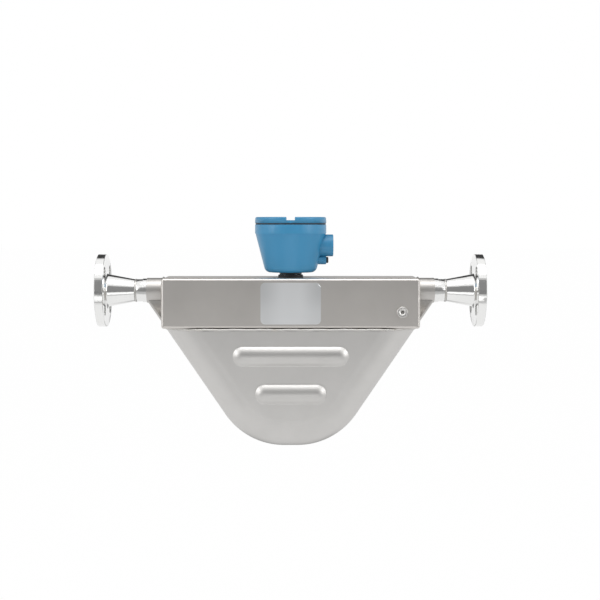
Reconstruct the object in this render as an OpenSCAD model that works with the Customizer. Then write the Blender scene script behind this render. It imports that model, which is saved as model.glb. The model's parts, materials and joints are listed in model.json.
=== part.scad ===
// Coriolis mass flow meter for a one inch line: two vibrating tubes in a V-shaped pod,
// weld-neck flanges, a flat upper housing and a screw-lid junction housing.
// Frame: origin on the pipe axis at the inlet sealing face, +X along the flow, +Z up,
// the label side faces -Y. Millimetres.

/* [Process line] */
// Length between the two sealing faces
face_to_face = 575; // [565:1:640]
// Outside diameter of the pipe ends
pipe_od = 33.4; // [32:0.1:34]
// Bore of the flanges
flange_bore = 26.6; // [25.8:0.1:28]
// Bore of the manifolds
manifold_bore = 25.4; // [22:0.1:25.4]

/* [Flanges] */
// Outside diameter of a flange
flange_od = 108; // [102:1:120]
// Thickness of a flange with its raised face
flange_thk = 14.3; // [12:0.1:18]
// Diameter of the raised sealing face
raised_face_d = 50.8; // [48:0.1:58]
// Height of the raised sealing face
raised_face_h = 1.6; // [1:0.1:2]
// Length from the sealing face to the hub's weld end
hub_len = 55.6; // [50:0.1:60]
// Hub diameter at the flange
hub_base_d = 49.2; // [46:0.1:50]
// Radius at the foot of the hub
hub_fillet = 4; // [2:0.5:5]
// Bolt circle diameter
bolt_circle_d = 79.4; // [78:0.1:86]
// Bolt hole diameter
bolt_hole_d = 15.9; // [14:0.1:17]
// Number of bolt holes
bolt_count = 4; // [4:4:8]
// Chamfer on the flange rim
rim_chamfer = 0.8; // [0.4:0.1:1.5]

/* [Manifolds] */
// Width of the butt weld between hub and manifold
butt_weld_w = 3.2; // [2.4:0.1:4]
// How far that weld stands above the pipe
butt_weld_h = 1; // [0.5:0.1:1.6]
// Length of the plain pipe end
pipe_end_len = 9; // [6:0.5:12]
// Length of the polished step before the spigot
step_len = 6; // [4:0.5:8]
// Diameter of that step
step_d = 35.4; // [34.4:0.1:36.6]
// Diameter of the spigot outside the housing
spigot_d = 37; // [36.8:0.1:37.6]
// Diameter of the neck that passes through the housing wall
neck_through_d = 31; // [30:0.1:31.4]
// Diameter of the splitter body across the two tubes
splitter_d = 30; // [29:0.5:32]
// Diameter of each branch that holds a tube
branch_d = 24; // [22:0.5:26]
// Length of a branch from the pipe axis
branch_len = 38; // [34:1:42]
// Depth of the socket for a tube end
socket_depth = 12; // [8:1:14]
// Thickness of the web under a spigot
web_thk = 24; // [16:1:30]
// Rolled edge of that web
web_edge_r = 4; // [2:0.5:6]

/* [Upper housing] */
// Length of the upper housing
housing_len = 378; // [366:1:384]
// Depth of the upper housing, front to back
housing_depth = 100; // [98:1:112]
// Height of its top above the pipe axis
housing_top = 19.5; // [19.5:0.5:24]
// Depth of its underside below the pipe axis
housing_drop = 54; // [50:1:58]
// Sheet thickness of the housing and the pod
wall = 2.5; // [2:0.1:2.8]
// Radius of its rolled edges
housing_edge_r = 4; // [3:0.5:4]

/* [Pod] */
// Lowest point of the pod below the pipe axis
pod_drop = 233.5; // [228:0.5:240]
// Slope of the sides of the V
pod_angle = 56; // [55:0.5:58]
// Radius of the two bottom corners
pod_corner_r = 105; // [98:1:110]
// Radius that rounds the pod's long edges
pod_edge_r = 45; // [42:0.5:47]
// Inward lean of each stamped face
pod_lean = 1.8; // [1:0.1:2.2]
// How far the V starts inside the end of the housing
pod_setback = 2; // [0.5:0.5:4]
// Height of the weld between housing and pod
housing_weld_h = 3.4; // [2:0.2:4]
// How far that weld stands out
housing_weld_proud = 1; // [0.6:0.1:1.6]
// Width of the seam weld between the two pod halves
seam_w = 3; // [2:0.2:4]
// How far the seam weld stands out
seam_proud = 0.7; // [0.4:0.1:1.2]
// Width of a raised stiffening bead
bead_w = 28.8; // [24:0.2:32]
// Height of a raised stiffening bead
bead_h = 6; // [4:0.2:7]
// Length of the upper bead
upper_bead_len = 172; // [150:1:180]
// Drop of the upper bead's centre below the pipe axis
upper_bead_drop = 94.3; // [88:0.1:100]
// Length of the lower bead
lower_bead_len = 107; // [90:1:112]
// Drop of the lower bead's centre below the pipe axis
lower_bead_drop = 150.1; // [146:0.1:154]

/* [Flow tubes] */
// Outside diameter of a flow tube
tube_d = 16; // [14:0.5:17]
// Wall of a flow tube
tube_wall = 1.5; // [1:0.1:2]
// Distance between the centres of the two tubes
tube_spacing = 40; // [38:1:44]
// How far the tubes run inside the pod's outline
tube_inset = 45; // [42:1:48]
// Clearance round a tube in its sockets and brace plates
tube_clearance = 0.3; // [0.2:0.05:0.4]
// Thickness of a brace plate
brace_thk = 3; // [2:0.5:4]
// Rim of a brace plate round a tube
brace_rim = 5; // [4:0.5:7]
// Distance from the branch end to the first brace plate
brace_offset = 14; // [10:1:18]
// Distance between the brace plates of a leg
brace_pitch = 22; // [18:1:26]
// Distance of a pickoff from the bottom bend, along the leg
pickoff_place = 75; // [66:1:80]
// Distance of the temperature sensor from the pickoff, along the leg
sensor_offset = 21; // [19:0.5:22]

/* [Driver and pickoffs] */
// Diameter of the drive magnet
drive_magnet_d = 9; // [7:0.5:10]
// Diameter of a pickoff magnet
pickoff_magnet_d = 7; // [5:0.5:8]
// Radial air gap between magnet and coil
air_gap = 1.2; // [1:0.1:1.6]
// Wall of a coil bobbin
bobbin_wall = 1.3; // [1:0.1:1.6]
// Radial build of the drive winding
drive_winding = 3.5; // [2:0.1:4.5]
// Radial build of a pickoff winding
pickoff_winding = 2.5; // [1.5:0.1:3]
// Length of a bracket along its tube
bracket_len = 20; // [16:1:20]
// Height of a bracket across its tube
bracket_h = 18; // [17.4:0.2:20]
// Half of the space between the brackets of the two tubes
bracket_gap = 9; // [8:0.5:10]
// Diameter of a lead
lead_d = 1.6; // [1:0.1:2]

/* [Junction housing] */
// Outside diameter of the junction housing and its lid
head_d = 106; // [102:1:110]
// Height of its underside above the pipe axis
head_bottom = 27; // [26.8:0.1:32]
// Height of its rim above the pipe axis
head_rim = 98; // [96:0.5:104]
// Height of the straight band under the rim
head_band = 13; // [12:0.5:16]
// Step below that band
head_step = 0.8; // [0.4:0.1:1.2]
// Diameter where the tapered wall meets the bottom corner
head_foot_d = 79; // [76:1:84]
// Radius of the bottom corner
head_corner_r = 9; // [7:0.5:10]
// Wall of the casting
head_wall = 5; // [4:0.2:5.4]
// Thickness of its floor
head_floor = 7; // [6:0.5:8]
// Bore for the lid's thread
lid_thread_d = 88; // [85:1:89]
// Diameter of the conduit boss
conduit_boss_d = 32.6; // [30:0.2:34]
// Height of the conduit boss above the pipe axis
conduit_height = 66.9; // [66:0.1:69]
// Reach of the conduit boss from the head's axis
conduit_reach = 63.3; // [61:0.1:70]
// Diameter of the conduit thread
conduit_thread_d = 18.5; // [16:0.5:21]
// Length of the conduit thread
conduit_thread_len = 12; // [10:0.5:12]
// Diameter of the ground boss
ground_boss_d = 13; // [11:0.5:14]
// Height of the ground boss above the pipe axis
ground_height = 45.2; // [44.8:0.1:46]
// Reach of the ground boss from the head's axis
ground_reach = 52.9; // [51:0.1:56]

/* [Lid] */
// Height of the lid above its seal
lid_h = 9; // [8:0.5:12]
// Thickness of the seal under the lid
lid_seal_h = 2; // [1.6:0.1:3]
// How far the seal sits back from the rim
lid_seal_back = 0.8; // [0.5:0.1:1.5]
// Depth of the dish in the lid
lid_dish = 4.7; // [3.5:0.1:5]
// Width of the lid's rim round the dish
lid_rim_w = 10; // [8:0.5:12]
// Width of a spanner notch in that rim
lid_notch_w = 12.7; // [10:0.1:16]
// Number of spanner notches
lid_notch_count = 4; // [2:2:6]
// Length of the threaded skirt
lid_skirt = 11; // [10:0.5:12]
// Wall of the threaded skirt
lid_skirt_wall = 4; // [3:0.5:5]
// Radial clearance of the lid's thread
thread_clearance = 0.3; // [0.2:0.05:0.4]

/* [Neck] */
// Diameter of the neck tube
neck_d = 22; // [20:0.5:24]
// Bore of the neck tube
neck_bore = 17; // [15:0.5:18]
// Radial running clearance of the head on the neck
neck_clearance = 0.1; // [0.05:0.01:0.1]
// Diameter of the base ring
base_ring_d = 37; // [36:0.5:40]
// Height of the base ring
base_ring_h = 3.7; // [3:0.1:4]
// Diameter of the neck's flange
neck_flange_d = 33.6; // [33:0.1:35]
// Thickness of the neck's flange
neck_flange_h = 1.2; // [1:0.1:1.6]
// Diameter of the collar under the head
collar_d = 33; // [31:0.5:35]
// Axial clearance of parts that turn past each other
turn_gap = 0.3; // [0.2:0.05:0.4]
// Diameter of the retaining nut in the head
neck_nut_d = 34; // [30:1:36]
// Height of the retaining nut
neck_nut_h = 5; // [4:0.5:6]

/* [Terminals] */
// Diameter of the terminal board
board_d = 66; // [62:1:67]
// Thickness of the terminal board
board_thk = 1.6; // [1.2:0.1:2]
// Height of the board above the head's floor
board_height = 11; // [9:0.5:12]
// Length of a terminal strip
strip_len = 45; // [40:1:46]
// Width of a terminal strip
strip_w = 10; // [9:0.5:11]
// Height of a terminal strip
strip_h = 9; // [7:0.5:10]
// Distance between the two terminal strips
strip_spacing = 28; // [26:1:30]
// Terminals in a strip
strip_poles = 5; // [3:1:6]
// Diameter of a terminal screw's head
terminal_screw_d = 5; // [3.5:0.5:5.5]

/* [Fittings] */
// Width of the label plate
label_w = 88; // [70:1:100]
// Height of the label plate
label_h = 61; // [50:1:61]
// Corner radius of the label plate
label_r = 7; // [3:0.5:10]
// Thickness of the label plate
label_thk = 0.8; // [0.5:0.1:1.5]
// Drop of the label's centre below the pipe axis
label_drop = 17; // [16:0.5:18]
// Distance of the purge plug from the outlet end of the upper housing
purge_from_end = 26.3; // [24:0.1:38]
// Drop of the purge plug below the pipe axis
purge_drop = 29.7; // [20:0.1:34]
// Diameter of the purge plug's head
purge_head_d = 16; // [14:0.5:18]
// Height of the purge plug's head
purge_head_h = 4; // [3:0.5:6]
// Diameter of the purge thread
purge_thread_d = 12; // [10:0.5:13]
// Socket of the purge plug, across its corners
purge_socket_d = 6.4; // [5:0.1:8]

/* [Hidden] */
$fn = 96;

// A small overshoot for cuts, so that no cut ends in the face it opens
over = 1;
mid_x = face_to_face / 2;
half_len = housing_len / 2;
half_depth = housing_depth / 2;
purge_x = half_len - purge_from_end;

// The pod's outline in the plane of the pipe, measured from the middle of the meter.
// Its sides slope at pod_angle and touch a circle at each bottom corner.
v_sin = sin(pod_angle);
v_cos = cos(pod_angle);
v_top_x = half_len - pod_setback;
corner_z = pod_corner_r - pod_drop;
corner_x = v_top_x - (pod_corner_r - (corner_z + housing_drop) * v_cos) / v_sin;
pod_top = -housing_drop - housing_weld_h;

// Each face's inner outline, which the long edges are rounded about
face_r = pod_corner_r - pod_edge_r;
edge_flat = half_depth - pod_edge_r;
leg_len = (pod_edge_r - housing_drop - corner_z + face_r * v_cos) / v_sin;
edge_steps = 14;
seam_steps = 3;
bead_r = (pow(bead_w / 2, 2) + pow(bead_h, 2)) / (2 * bead_h);

// The flow tubes follow the same outline, tube_inset inside it
tube_bend_r = pod_corner_r - tube_inset;
tube_low = corner_z - tube_bend_r;
bend_x = corner_x + tube_bend_r * v_sin;
bend_z = corner_z - tube_bend_r * v_cos;
split_x = bend_x - bend_z / v_sin * v_cos;
split_to_bend = -bend_z / v_sin;
tube_start = branch_len - socket_depth;
tube_end_gap = 0.1;
brace_first = branch_len + brace_offset;
brace_mid = brace_first + brace_pitch / 2;
pickoff_at = split_to_bend - pickoff_place;
sensor_at = pickoff_at - sensor_offset;

// The manifold, measured along the pipe from the sealing face
pipe_end_from = hub_len + butt_weld_w;
step_from = pipe_end_from + pipe_end_len;
spigot_from = step_from + step_len;
housing_from = mid_x - half_len;
split_from = mid_x - split_x;
splitter_reach = 8;
neck_end = split_from - splitter_d / 2 - 4;

// The driver and the pickoffs
bobbin_len = bracket_gap + 3;
magnet_len = bracket_gap + 3;
bobbin_flange = 1.2;
saddle_clearance = 0.05;
saddle_wrap = 4;
sensor_h = 3;

// The feedthrough, the pins under it and the leads below them
feedthrough_low = housing_top - wall - 4;
pin_low = feedthrough_low - 3;
lead_gap = 0.3;
lead_pitch = 3;
lead_top = feedthrough_low - lead_gap;
lead_run_z = pin_low - 3;
lead_front = 8;

// The neck and the junction housing
head_x = mid_x;
ring_top = housing_top + base_ring_h;
neck_flange_top = ring_top + neck_flange_h;
head_r = head_d / 2;
head_floor_top = head_bottom + head_floor;
band_bottom = head_rim - head_band;
taper_top_r = head_r - head_step;
board_bottom = head_floor_top + board_height;
board_top = board_bottom + board_thk;
neck_nut_from = head_floor_top + turn_gap;
neck_top = neck_nut_from + neck_nut_h;
lid_bottom = head_rim + lid_seal_h;
lid_top = lid_bottom + lid_h;
thread_r = lid_thread_d / 2;
head_tilt = atan2(taper_top_r - head_foot_d / 2, band_bottom - head_bottom - head_corner_r);
cavity_foot = head_foot_d / 2 - head_wall;
cavity_top = taper_top_r - head_wall;
thread_from = head_rim - lid_skirt - over;
post_circle_r = board_d / 2 - 6;
post_r = 3.5;
post_count = 3;
post_screw_r = 1.5;
post_screw_len = 8;
boss_from = head_foot_d / 4;
ground_shank = 8;
ground_thread_r = 2.5;
screw_well = 3;

steel = "silver";
polished = "gainsboro";
blue = "steelblue";
black = "#2b2d30";
copper = "#b8733a";
amber = "#c9a227";

// Points along an arc, with its ends
function arc(x, y, r, from, to, steps) =
    [for (i = [0 : steps]) let (a = from + (to - from) * i / steps) [x + r * cos(a), y + r * sin(a)]];

// A cylinder along the pipe, between two places
module bar_x(from, to, r) {
    translate([from, 0, 0])
        rotate([0, 90, 0])
            cylinder(h = to - from, r = r);
}

// A cylinder towards the back, between two depths
module bar_y(from, to, r, sides = 96) {
    translate([0, from, 0])
        rotate([-90, 0, 0])
            cylinder(h = to - from, r = r, $fn = sides);
}

// A turned part about the pipe axis, from points of radius and place
module turned_x(points) {
    rotate([0, 90, 0])
        rotate_extrude()
            polygon(points);
}

// What stands at the inlet end, or its mirror image at the outlet end
module at_end(outlet) {
    if (outlet)
        translate([face_to_face, 0, 0])
            mirror([1, 0, 0])
                children();
    else
        children();
}

// A rectangle with round corners about the origin
module rounded_square(w, h, r) {
    square([w - 2 * r, h], center = true);
    square([w, h - 2 * r], center = true);
    for (x = [-1, 1], y = [-1, 1])
        translate([x * (w / 2 - r), y * (h / 2 - r)])
            circle(r = r);
}

// A box with all its edges rounded, about the origin
module rounded_box(size, r) {
    linear_extrude(height = size.z - 2 * r, center = true)
        rounded_square(size.x, size.y, r);
    cube([size.x - 2 * r, size.y - 2 * r, size.z], center = true);
    for (z = [-1, 1])
        translate([0, 0, z * (size.z / 2 - r)]) {
            for (y = [-1, 1])
                translate([0, y * (size.y / 2 - r), 0])
                    rotate([0, 90, 0])
                        cylinder(h = size.x - 2 * r, r = r, center = true);
            for (x = [-1, 1])
                translate([x * (size.x / 2 - r), 0, 0])
                    rotate([90, 0, 0])
                        cylinder(h = size.y - 2 * r, r = r, center = true);
            for (x = [-1, 1], y = [-1, 1])
                translate([x * (size.x / 2 - r), y * (size.y / 2 - r), 0])
                    sphere(r = r);
        }
}

// ---------- flanges and manifolds ----------

module weld_neck_flange() {
    rim = flange_od / 2;
    hub = hub_base_d / 2;
    pipe = pipe_od / 2;
    hub_slope = (hub - pipe) / (hub_len - flange_thk);
    fillet_end = hub - hub_slope * hub_fillet;
    difference() {
        turned_x(concat(
            [
                [0, 0],
                [raised_face_d / 2, 0],
                [raised_face_d / 2, raised_face_h],
                [rim - rim_chamfer, raised_face_h],
                [rim, raised_face_h + rim_chamfer],
                [rim, flange_thk - rim_chamfer],
                [rim - rim_chamfer, flange_thk]
            ],
            arc(fillet_end + hub_fillet, flange_thk + hub_fillet, hub_fillet, 270, 180, 6),
            [[pipe, hub_len], [0, hub_len]]
        ));
        bar_x(-over, hub_len + over, flange_bore / 2);
        for (i = [0 : bolt_count - 1])
            rotate([360 / bolt_count * (i + 0.5), 0, 0])
                translate([0, bolt_circle_d / 2, 0])
                    bar_x(-over, flange_thk + over, bolt_hole_d / 2);
    }
}

module inlet_flange() {
    color(polished) weld_neck_flange();
}

module outlet_flange() {
    color(polished) at_end(true) weld_neck_flange();
}

// The butt weld has a rounded crown and a small root opening
module flange_welds() {
    pipe = pipe_od / 2;
    root = flange_bore / 2 + 0.3;
    crown_r = (pow(butt_weld_w / 2, 2) + pow(butt_weld_h, 2)) / (2 * butt_weld_h);
    crown_half = asin(butt_weld_w / 2 / crown_r);
    color(steel)
        for (outlet = [false, true])
            at_end(outlet)
                turned_x(concat(
                    [[root, pipe_end_from], [root, hub_len]],
                    arc(pipe + butt_weld_h - crown_r, hub_len + butt_weld_w / 2, crown_r,
                        -crown_half, crown_half, 8)
                ));
}

// Where one tube leaves the splitter, with +Z up along its centre line
module at_branch(side) {
    translate([split_from, side * tube_spacing / 2, 0])
        rotate([0, 90 + pod_angle, 0])
            children();
}

// The web under the spigot goes on along the line of the pod's sloping side, with its
// two outer edges rolled
module spigot_web() {
    top = -spigot_d / 2 + 4;
    foot = -housing_drop + (half_len - v_top_x) / v_cos * v_sin;
    function line_x(z) = mid_x - (v_top_x + (z + housing_drop) / v_sin * v_cos);
    start = foot - web_thk;
    half = web_thk / 2;
    intersection() {
        translate([line_x(top) - over, -web_thk, foot])
            cube([housing_from - line_x(top) + over, 2 * web_thk, top - foot]);
        translate([line_x(start), 0, start])
            rotate([0, pod_angle - 90, 0])
                linear_extrude(height = (top - start) / v_sin + web_thk)
                    polygon(concat(
                        arc(web_edge_r, web_edge_r - half, web_edge_r, 270, 180, 8),
                        arc(web_edge_r, half - web_edge_r, web_edge_r, 180, 90, 8),
                        [[housing_drop, half], [housing_drop, -half]]
                    ));
    }
}

// The pipe end, the polished step, the spigot and the neck through the housing's wall
module manifold() {
    bore = manifold_bore / 2;
    turned_x([
        [bore, pipe_end_from], [pipe_od / 2, pipe_end_from],
        [pipe_od / 2, step_from], [step_d / 2, step_from],
        [step_d / 2, spigot_from], [spigot_d / 2, spigot_from],
        [spigot_d / 2, housing_from], [neck_through_d / 2, housing_from],
        [neck_through_d / 2, neck_end], [bore, neck_end]
    ]);
    spigot_web();
}

// The casting on the neck's end divides the flow between the two tubes
module splitter() {
    $fn = 48;
    bore_r = tube_d / 2 - tube_wall;
    difference() {
        union() {
            bar_x(neck_end, split_from, neck_through_d / 2);
            translate([split_from, 0, 0])
                bar_y(-tube_spacing / 2, tube_spacing / 2, splitter_d / 2, 48);
            for (side = [-1, 1]) {
                translate([split_from, side * tube_spacing / 2, 0])
                    sphere(r = splitter_d / 2);
                at_branch(side)
                    cylinder(h = branch_len, r = branch_d / 2);
            }
        }
        bar_x(neck_end - over, split_from - splitter_reach, manifold_bore / 2);
        for (side = [-1, 1]) {
            splitter_passage(side);
            at_branch(side) {
                cylinder(h = branch_len + over, r = bore_r);
                translate([0, 0, tube_start - tube_end_gap])
                    cylinder(h = socket_depth + tube_end_gap + over, r = tube_d / 2 + tube_clearance);
            }
        }
    }
}

// The flow turns from the pipe's bore into one tube, along a slanting passage
module splitter_passage(side) {
    passage = tube_d / 2 - tube_wall;
    start = [split_from - splitter_reach - passage / 2, side * passage * 0.6, 0];
    end = [split_from, side * tube_spacing / 2, 0];
    run = end - start;
    translate(start)
        rotate([0, 90, atan2(run.y, run.x)])
            cylinder(h = norm(run), r = passage - 0.5);
    translate(end)
        sphere(r = passage + 1);
}

module inlet_manifold() {
    color(steel) manifold();
}

module outlet_manifold() {
    color(steel) at_end(true) manifold();
}

module inlet_splitter() {
    color(steel) splitter();
}

module outlet_splitter() {
    color(steel) at_end(true) splitter();
}

// A fillet weld where each spigot meets the end of the housing
module spigot_welds() {
    leg = 1.8;
    color(polished)
        for (outlet = [false, true])
            at_end(outlet)
                difference() {
                    turned_x([
                        [spigot_d / 2, housing_from - leg],
                        [spigot_d / 2 + leg, housing_from],
                        [spigot_d / 2, housing_from]
                    ]);
                    translate([housing_from - leg - over, -web_thk / 2, -spigot_d])
                        cube([leg + 2 * over, web_thk, spigot_d]);
                }
}

// ---------- upper housing ----------

module upper_housing() {
    height = housing_top + housing_drop;
    color(steel)
        difference() {
            translate([mid_x, 0, housing_top - height / 2])
                rounded_box([housing_len, housing_depth, height], housing_edge_r);
            translate([housing_from + wall, wall - half_depth, wall - housing_drop])
                cube([housing_len - 2 * wall, housing_depth - 2 * wall, height - 2 * wall]);
            pod_legs(-wall);
            for (outlet = [false, true])
                at_end(outlet)
                    bar_x(housing_from - over, housing_from + wall + over,
                        neck_through_d / 2 + saddle_clearance);
            translate([head_x, 0, housing_top - wall - over])
                cylinder(h = wall + 2 * over, r = neck_bore / 2);
            translate([mid_x + purge_x, 0, -purge_drop])
                bar_y(-half_depth - over, wall + over - half_depth, purge_thread_d / 2);
        }
}

// ---------- pod ----------

// The section across a long edge: x runs out past the face's inner outline, y is depth.
// Its rounding is drawn over the steps nearest the seam, or over all of them.
module edge_section(grow, steps) {
    r = pod_edge_r + grow;
    polygon(concat(
        arc(0, -edge_flat, r, 360 - steps * 90 / edge_steps, 360, steps),
        [[r, 0], [0, 0]]
    ));
}

// Half of the pod as a solid before it leans, grown by a given amount: the hull of its
// two bottom corners, or only of the feet of its two legs, and of the legs' tops
module straight_half(grow, steps, corners) {
    tangent_x = corner_x + face_r * v_sin;
    tangent_z = corner_z - face_r * v_cos;
    hull()
        for (side = [0, 1])
            mirror([side, 0, 0]) {
                if (corners)
                    translate([corner_x, 0, corner_z])
                        rotate([-90, 0, 0])
                            rotate([0, 0, 90 - pod_angle])
                                rotate_extrude(angle = pod_angle)
                                    translate([face_r, 0])
                                        edge_section(grow, steps);
                for (along = corners ? [leg_len] : [0, leg_len])
                    translate([tangent_x, 0, tangent_z])
                        rotate([0, 90 - pod_angle, 0])
                            translate([0, 0, along])
                                linear_extrude(height = over)
                                    edge_section(grow, steps);
            }
}

// Half of the pod with its stamped face leaning in, on the front side
module leaning_half(grow, steps = edge_steps, corners = true) {
    translate([mid_x, -half_depth, pod_top])
        rotate([pod_lean, 0, 0])
            translate([0, half_depth, -pod_top])
                straight_half(grow, steps, corners);
}

// The stiffening beads, grown with the sheet they are pressed in
module beads(grow) {
    rise = half_depth - bead_h + bead_r;
    rows = [[upper_bead_len, upper_bead_drop], [lower_bead_len, lower_bead_drop]];
    translate([mid_x, -half_depth, pod_top])
        rotate([pod_lean, 0, 0])
            for (row = rows)
                translate([0, bead_r - bead_h, -pod_top - row[1]]) {
                    half = (row[0] - bead_w) / 2;
                    bar_x(-half, half, bead_r + grow);
                    for (side = [-1, 1])
                        translate([side * half, 0, 0])
                            sphere(r = bead_r + grow);
                }
}

// Everything in front of a depth and below a height
module front_space(back, top) {
    translate([mid_x - housing_len, -housing_depth, top - 2 * pod_drop])
        cube([2 * housing_len, housing_depth + back, 2 * pod_drop]);
}

// The pod's two legs as one solid, up into the floor of the housing
module pod_legs(grow) {
    for (side = [0, 1])
        mirror([0, side, 0])
            intersection() {
                leaning_half(grow, corners = false);
                front_space(0, -housing_drop + wall + over);
            }
}

module pod_shell() {
    difference() {
        intersection() {
            union() {
                leaning_half(0);
                beads(0);
            }
            front_space(-seam_w / 2, pod_top);
        }
        leaning_half(-wall);
        beads(-wall);
    }
}

module pod_front() {
    color(steel) pod_shell();
}

module pod_back() {
    color(steel) mirror([0, 1, 0]) pod_shell();
}

// The weld that joins the two halves along the V
module pod_seam_weld() {
    color(steel)
        for (side = [0, 1])
            mirror([0, side, 0])
                intersection() {
                    difference() {
                        leaning_half(seam_proud, seam_steps);
                        leaning_half(-wall, seam_steps);
                    }
                    translate([mid_x - housing_len, -seam_w / 2, pod_top - 2 * pod_drop])
                        cube([2 * housing_len, seam_w / 2, 2 * pod_drop]);
                }
}

// The weld that joins the pod to the floor of the housing
module housing_weld() {
    color(polished)
        difference() {
            intersection() {
                pod_legs(housing_weld_proud);
                translate([mid_x - housing_len, -housing_depth, pod_top])
                    cube([2 * housing_len, 2 * housing_depth, housing_weld_h]);
            }
            pod_legs(-wall);
        }
}

// ---------- flow tubes ----------

// A round path that follows the V, its middle at the meter's middle
module v_path(r, start) {
    for (side = [-1, 1]) {
        translate([side * bend_x, 0, bend_z])
            rotate([0, side * (90 - pod_angle), 0])
                cylinder(h = split_to_bend - start, r = r);
        translate([side * corner_x, 0, corner_z])
            rotate([-90, 0, 0])
                rotate([0, 0, side > 0 ? 90 - pod_angle : 90])
                    rotate_extrude(angle = pod_angle)
                        translate([tube_bend_r, 0])
                            circle(r = r);
    }
    translate([0, 0, tube_low])
        bar_x(-corner_x, corner_x, r);
}

module flow_tube() {
    $fn = 32;
    difference() {
        v_path(tube_d / 2, tube_start);
        v_path(tube_d / 2 - tube_wall, tube_start - over);
    }
}

module flow_tube_front() {
    color(polished) translate([mid_x, -tube_spacing / 2, 0]) flow_tube();
}

module flow_tube_back() {
    color(polished) translate([mid_x, tube_spacing / 2, 0]) flow_tube();
}

// A place on a leg, its distance from the pipe axis along the tube; +X runs up the leg
module on_leg(outlet, distance) {
    at_end(!outlet)
        translate([mid_x + split_x - distance * v_cos, 0, -distance * v_sin])
            rotate([0, -pod_angle, 0])
                children();
}

module brace_plate() {
    r = tube_d / 2 + brace_rim;
    difference() {
        union() {
            cube([brace_thk, tube_spacing, 2 * r], center = true);
            for (side = [-1, 1])
                translate([0, side * tube_spacing / 2, 0])
                    bar_x(-brace_thk / 2, brace_thk / 2, r);
        }
        for (side = [-1, 1])
            translate([0, side * tube_spacing / 2, 0])
                bar_x(-brace_thk, brace_thk, tube_d / 2 + tube_clearance);
        bar_x(-brace_thk, brace_thk, r / 2);
    }
}

module brace_plates(outlet) {
    color(steel)
        for (i = [0, 1])
            on_leg(outlet, brace_first + i * brace_pitch)
                brace_plate();
}

module inlet_brace_plates() {
    brace_plates(false);
}

module outlet_brace_plates() {
    brace_plates(true);
}

// ---------- driver and pickoffs ----------

module at_driver() {
    translate([mid_x, 0, tube_low])
        children();
}

// A bracket between its tube and the magnet or coil that it carries
module bracket() {
    from = -tube_spacing / 2 + saddle_wrap;
    difference() {
        translate([-bracket_len / 2, from, -bracket_h / 2])
            cube([bracket_len, -bracket_gap - from, bracket_h]);
        translate([0, -tube_spacing / 2, 0])
            bar_x(-bracket_len, bracket_len, tube_d / 2 + saddle_clearance);
    }
}

// A magnet has a pole cap that is a little narrower
module magnet(d) {
    cap = 1.5;
    bar_y(-bracket_gap, magnet_len - bracket_gap - cap, d / 2);
    bar_y(magnet_len - bracket_gap - cap, magnet_len - bracket_gap, d / 2 - 0.6);
}

// Radius of a bobbin's flanges
function coil_rim(d, build) = d / 2 + air_gap + bobbin_wall + build + 0.5;

module bobbin(d, build) {
    bore = d / 2 + air_gap;
    core = bore + bobbin_wall;
    front = bracket_gap - bobbin_len;
    difference() {
        union() {
            bar_y(front, bracket_gap, core);
            for (y = [front, bracket_gap - bobbin_flange])
                bar_y(y, y + bobbin_flange, coil_rim(d, build));
        }
        bar_y(front - over, bracket_gap + over, bore);
    }
}

module winding(d, build) {
    core = d / 2 + air_gap + bobbin_wall;
    from = bracket_gap - bobbin_len + bobbin_flange;
    difference() {
        bar_y(from, bracket_gap - bobbin_flange, core + build);
        bar_y(from - over, bracket_gap + over, core);
    }
}

module drive_magnet() {
    color(polished) at_driver() magnet(drive_magnet_d);
}

module drive_magnet_bracket() {
    color(steel) at_driver() bracket();
}

module drive_bobbin() {
    color(black) at_driver() bobbin(drive_magnet_d, drive_winding);
}

module drive_coil() {
    color(copper) at_driver() winding(drive_magnet_d, drive_winding);
}

module drive_coil_bracket() {
    color(steel) at_driver() mirror([0, 1, 0]) bracket();
}

module inlet_pickoff_magnet() {
    color(polished) on_leg(false, pickoff_at) magnet(pickoff_magnet_d);
}

module inlet_pickoff_magnet_bracket() {
    color(steel) on_leg(false, pickoff_at) bracket();
}

module inlet_pickoff_bobbin() {
    color(black) on_leg(false, pickoff_at) bobbin(pickoff_magnet_d, pickoff_winding);
}

module inlet_pickoff_coil() {
    color(copper) on_leg(false, pickoff_at) winding(pickoff_magnet_d, pickoff_winding);
}

module inlet_pickoff_coil_bracket() {
    color(steel) on_leg(false, pickoff_at) mirror([0, 1, 0]) bracket();
}

module outlet_pickoff_magnet() {
    color(polished) on_leg(true, pickoff_at) magnet(pickoff_magnet_d);
}

module outlet_pickoff_magnet_bracket() {
    color(steel) on_leg(true, pickoff_at) bracket();
}

module outlet_pickoff_bobbin() {
    color(black) on_leg(true, pickoff_at) bobbin(pickoff_magnet_d, pickoff_winding);
}

module outlet_pickoff_coil() {
    color(copper) on_leg(true, pickoff_at) winding(pickoff_magnet_d, pickoff_winding);
}

module outlet_pickoff_coil_bracket() {
    color(steel) on_leg(true, pickoff_at) mirror([0, 1, 0]) bracket();
}

// A resistance sensor in a small saddle on the inlet leg of the front tube
module temperature_sensor() {
    sensor_len = 12;
    sensor_w = 7;
    color(amber)
        on_leg(false, sensor_at)
            translate([0, -tube_spacing / 2, 0])
                difference() {
                    translate([-sensor_len / 2, -sensor_w / 2, 0])
                        cube([sensor_len, sensor_w, tube_d / 2 + sensor_h]);
                    bar_x(-sensor_len, sensor_len, tube_d / 2 + saddle_clearance);
                }
}

// ---------- leads and feedthrough ----------

// A lead through its points, in straight runs with a round corner between them
module lead(points) {
    r = lead_d / 2;
    for (i = [1 : len(points) - 1]) {
        run = points[i] - points[i - 1];
        translate(points[i - 1])
            rotate([0, acos(run.z / norm(run)), atan2(run.y, run.x)])
                cylinder(h = norm(run), r = r);
        if (i < len(points) - 1)
            translate(points[i])
                sphere(r = r);
    }
}

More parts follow.
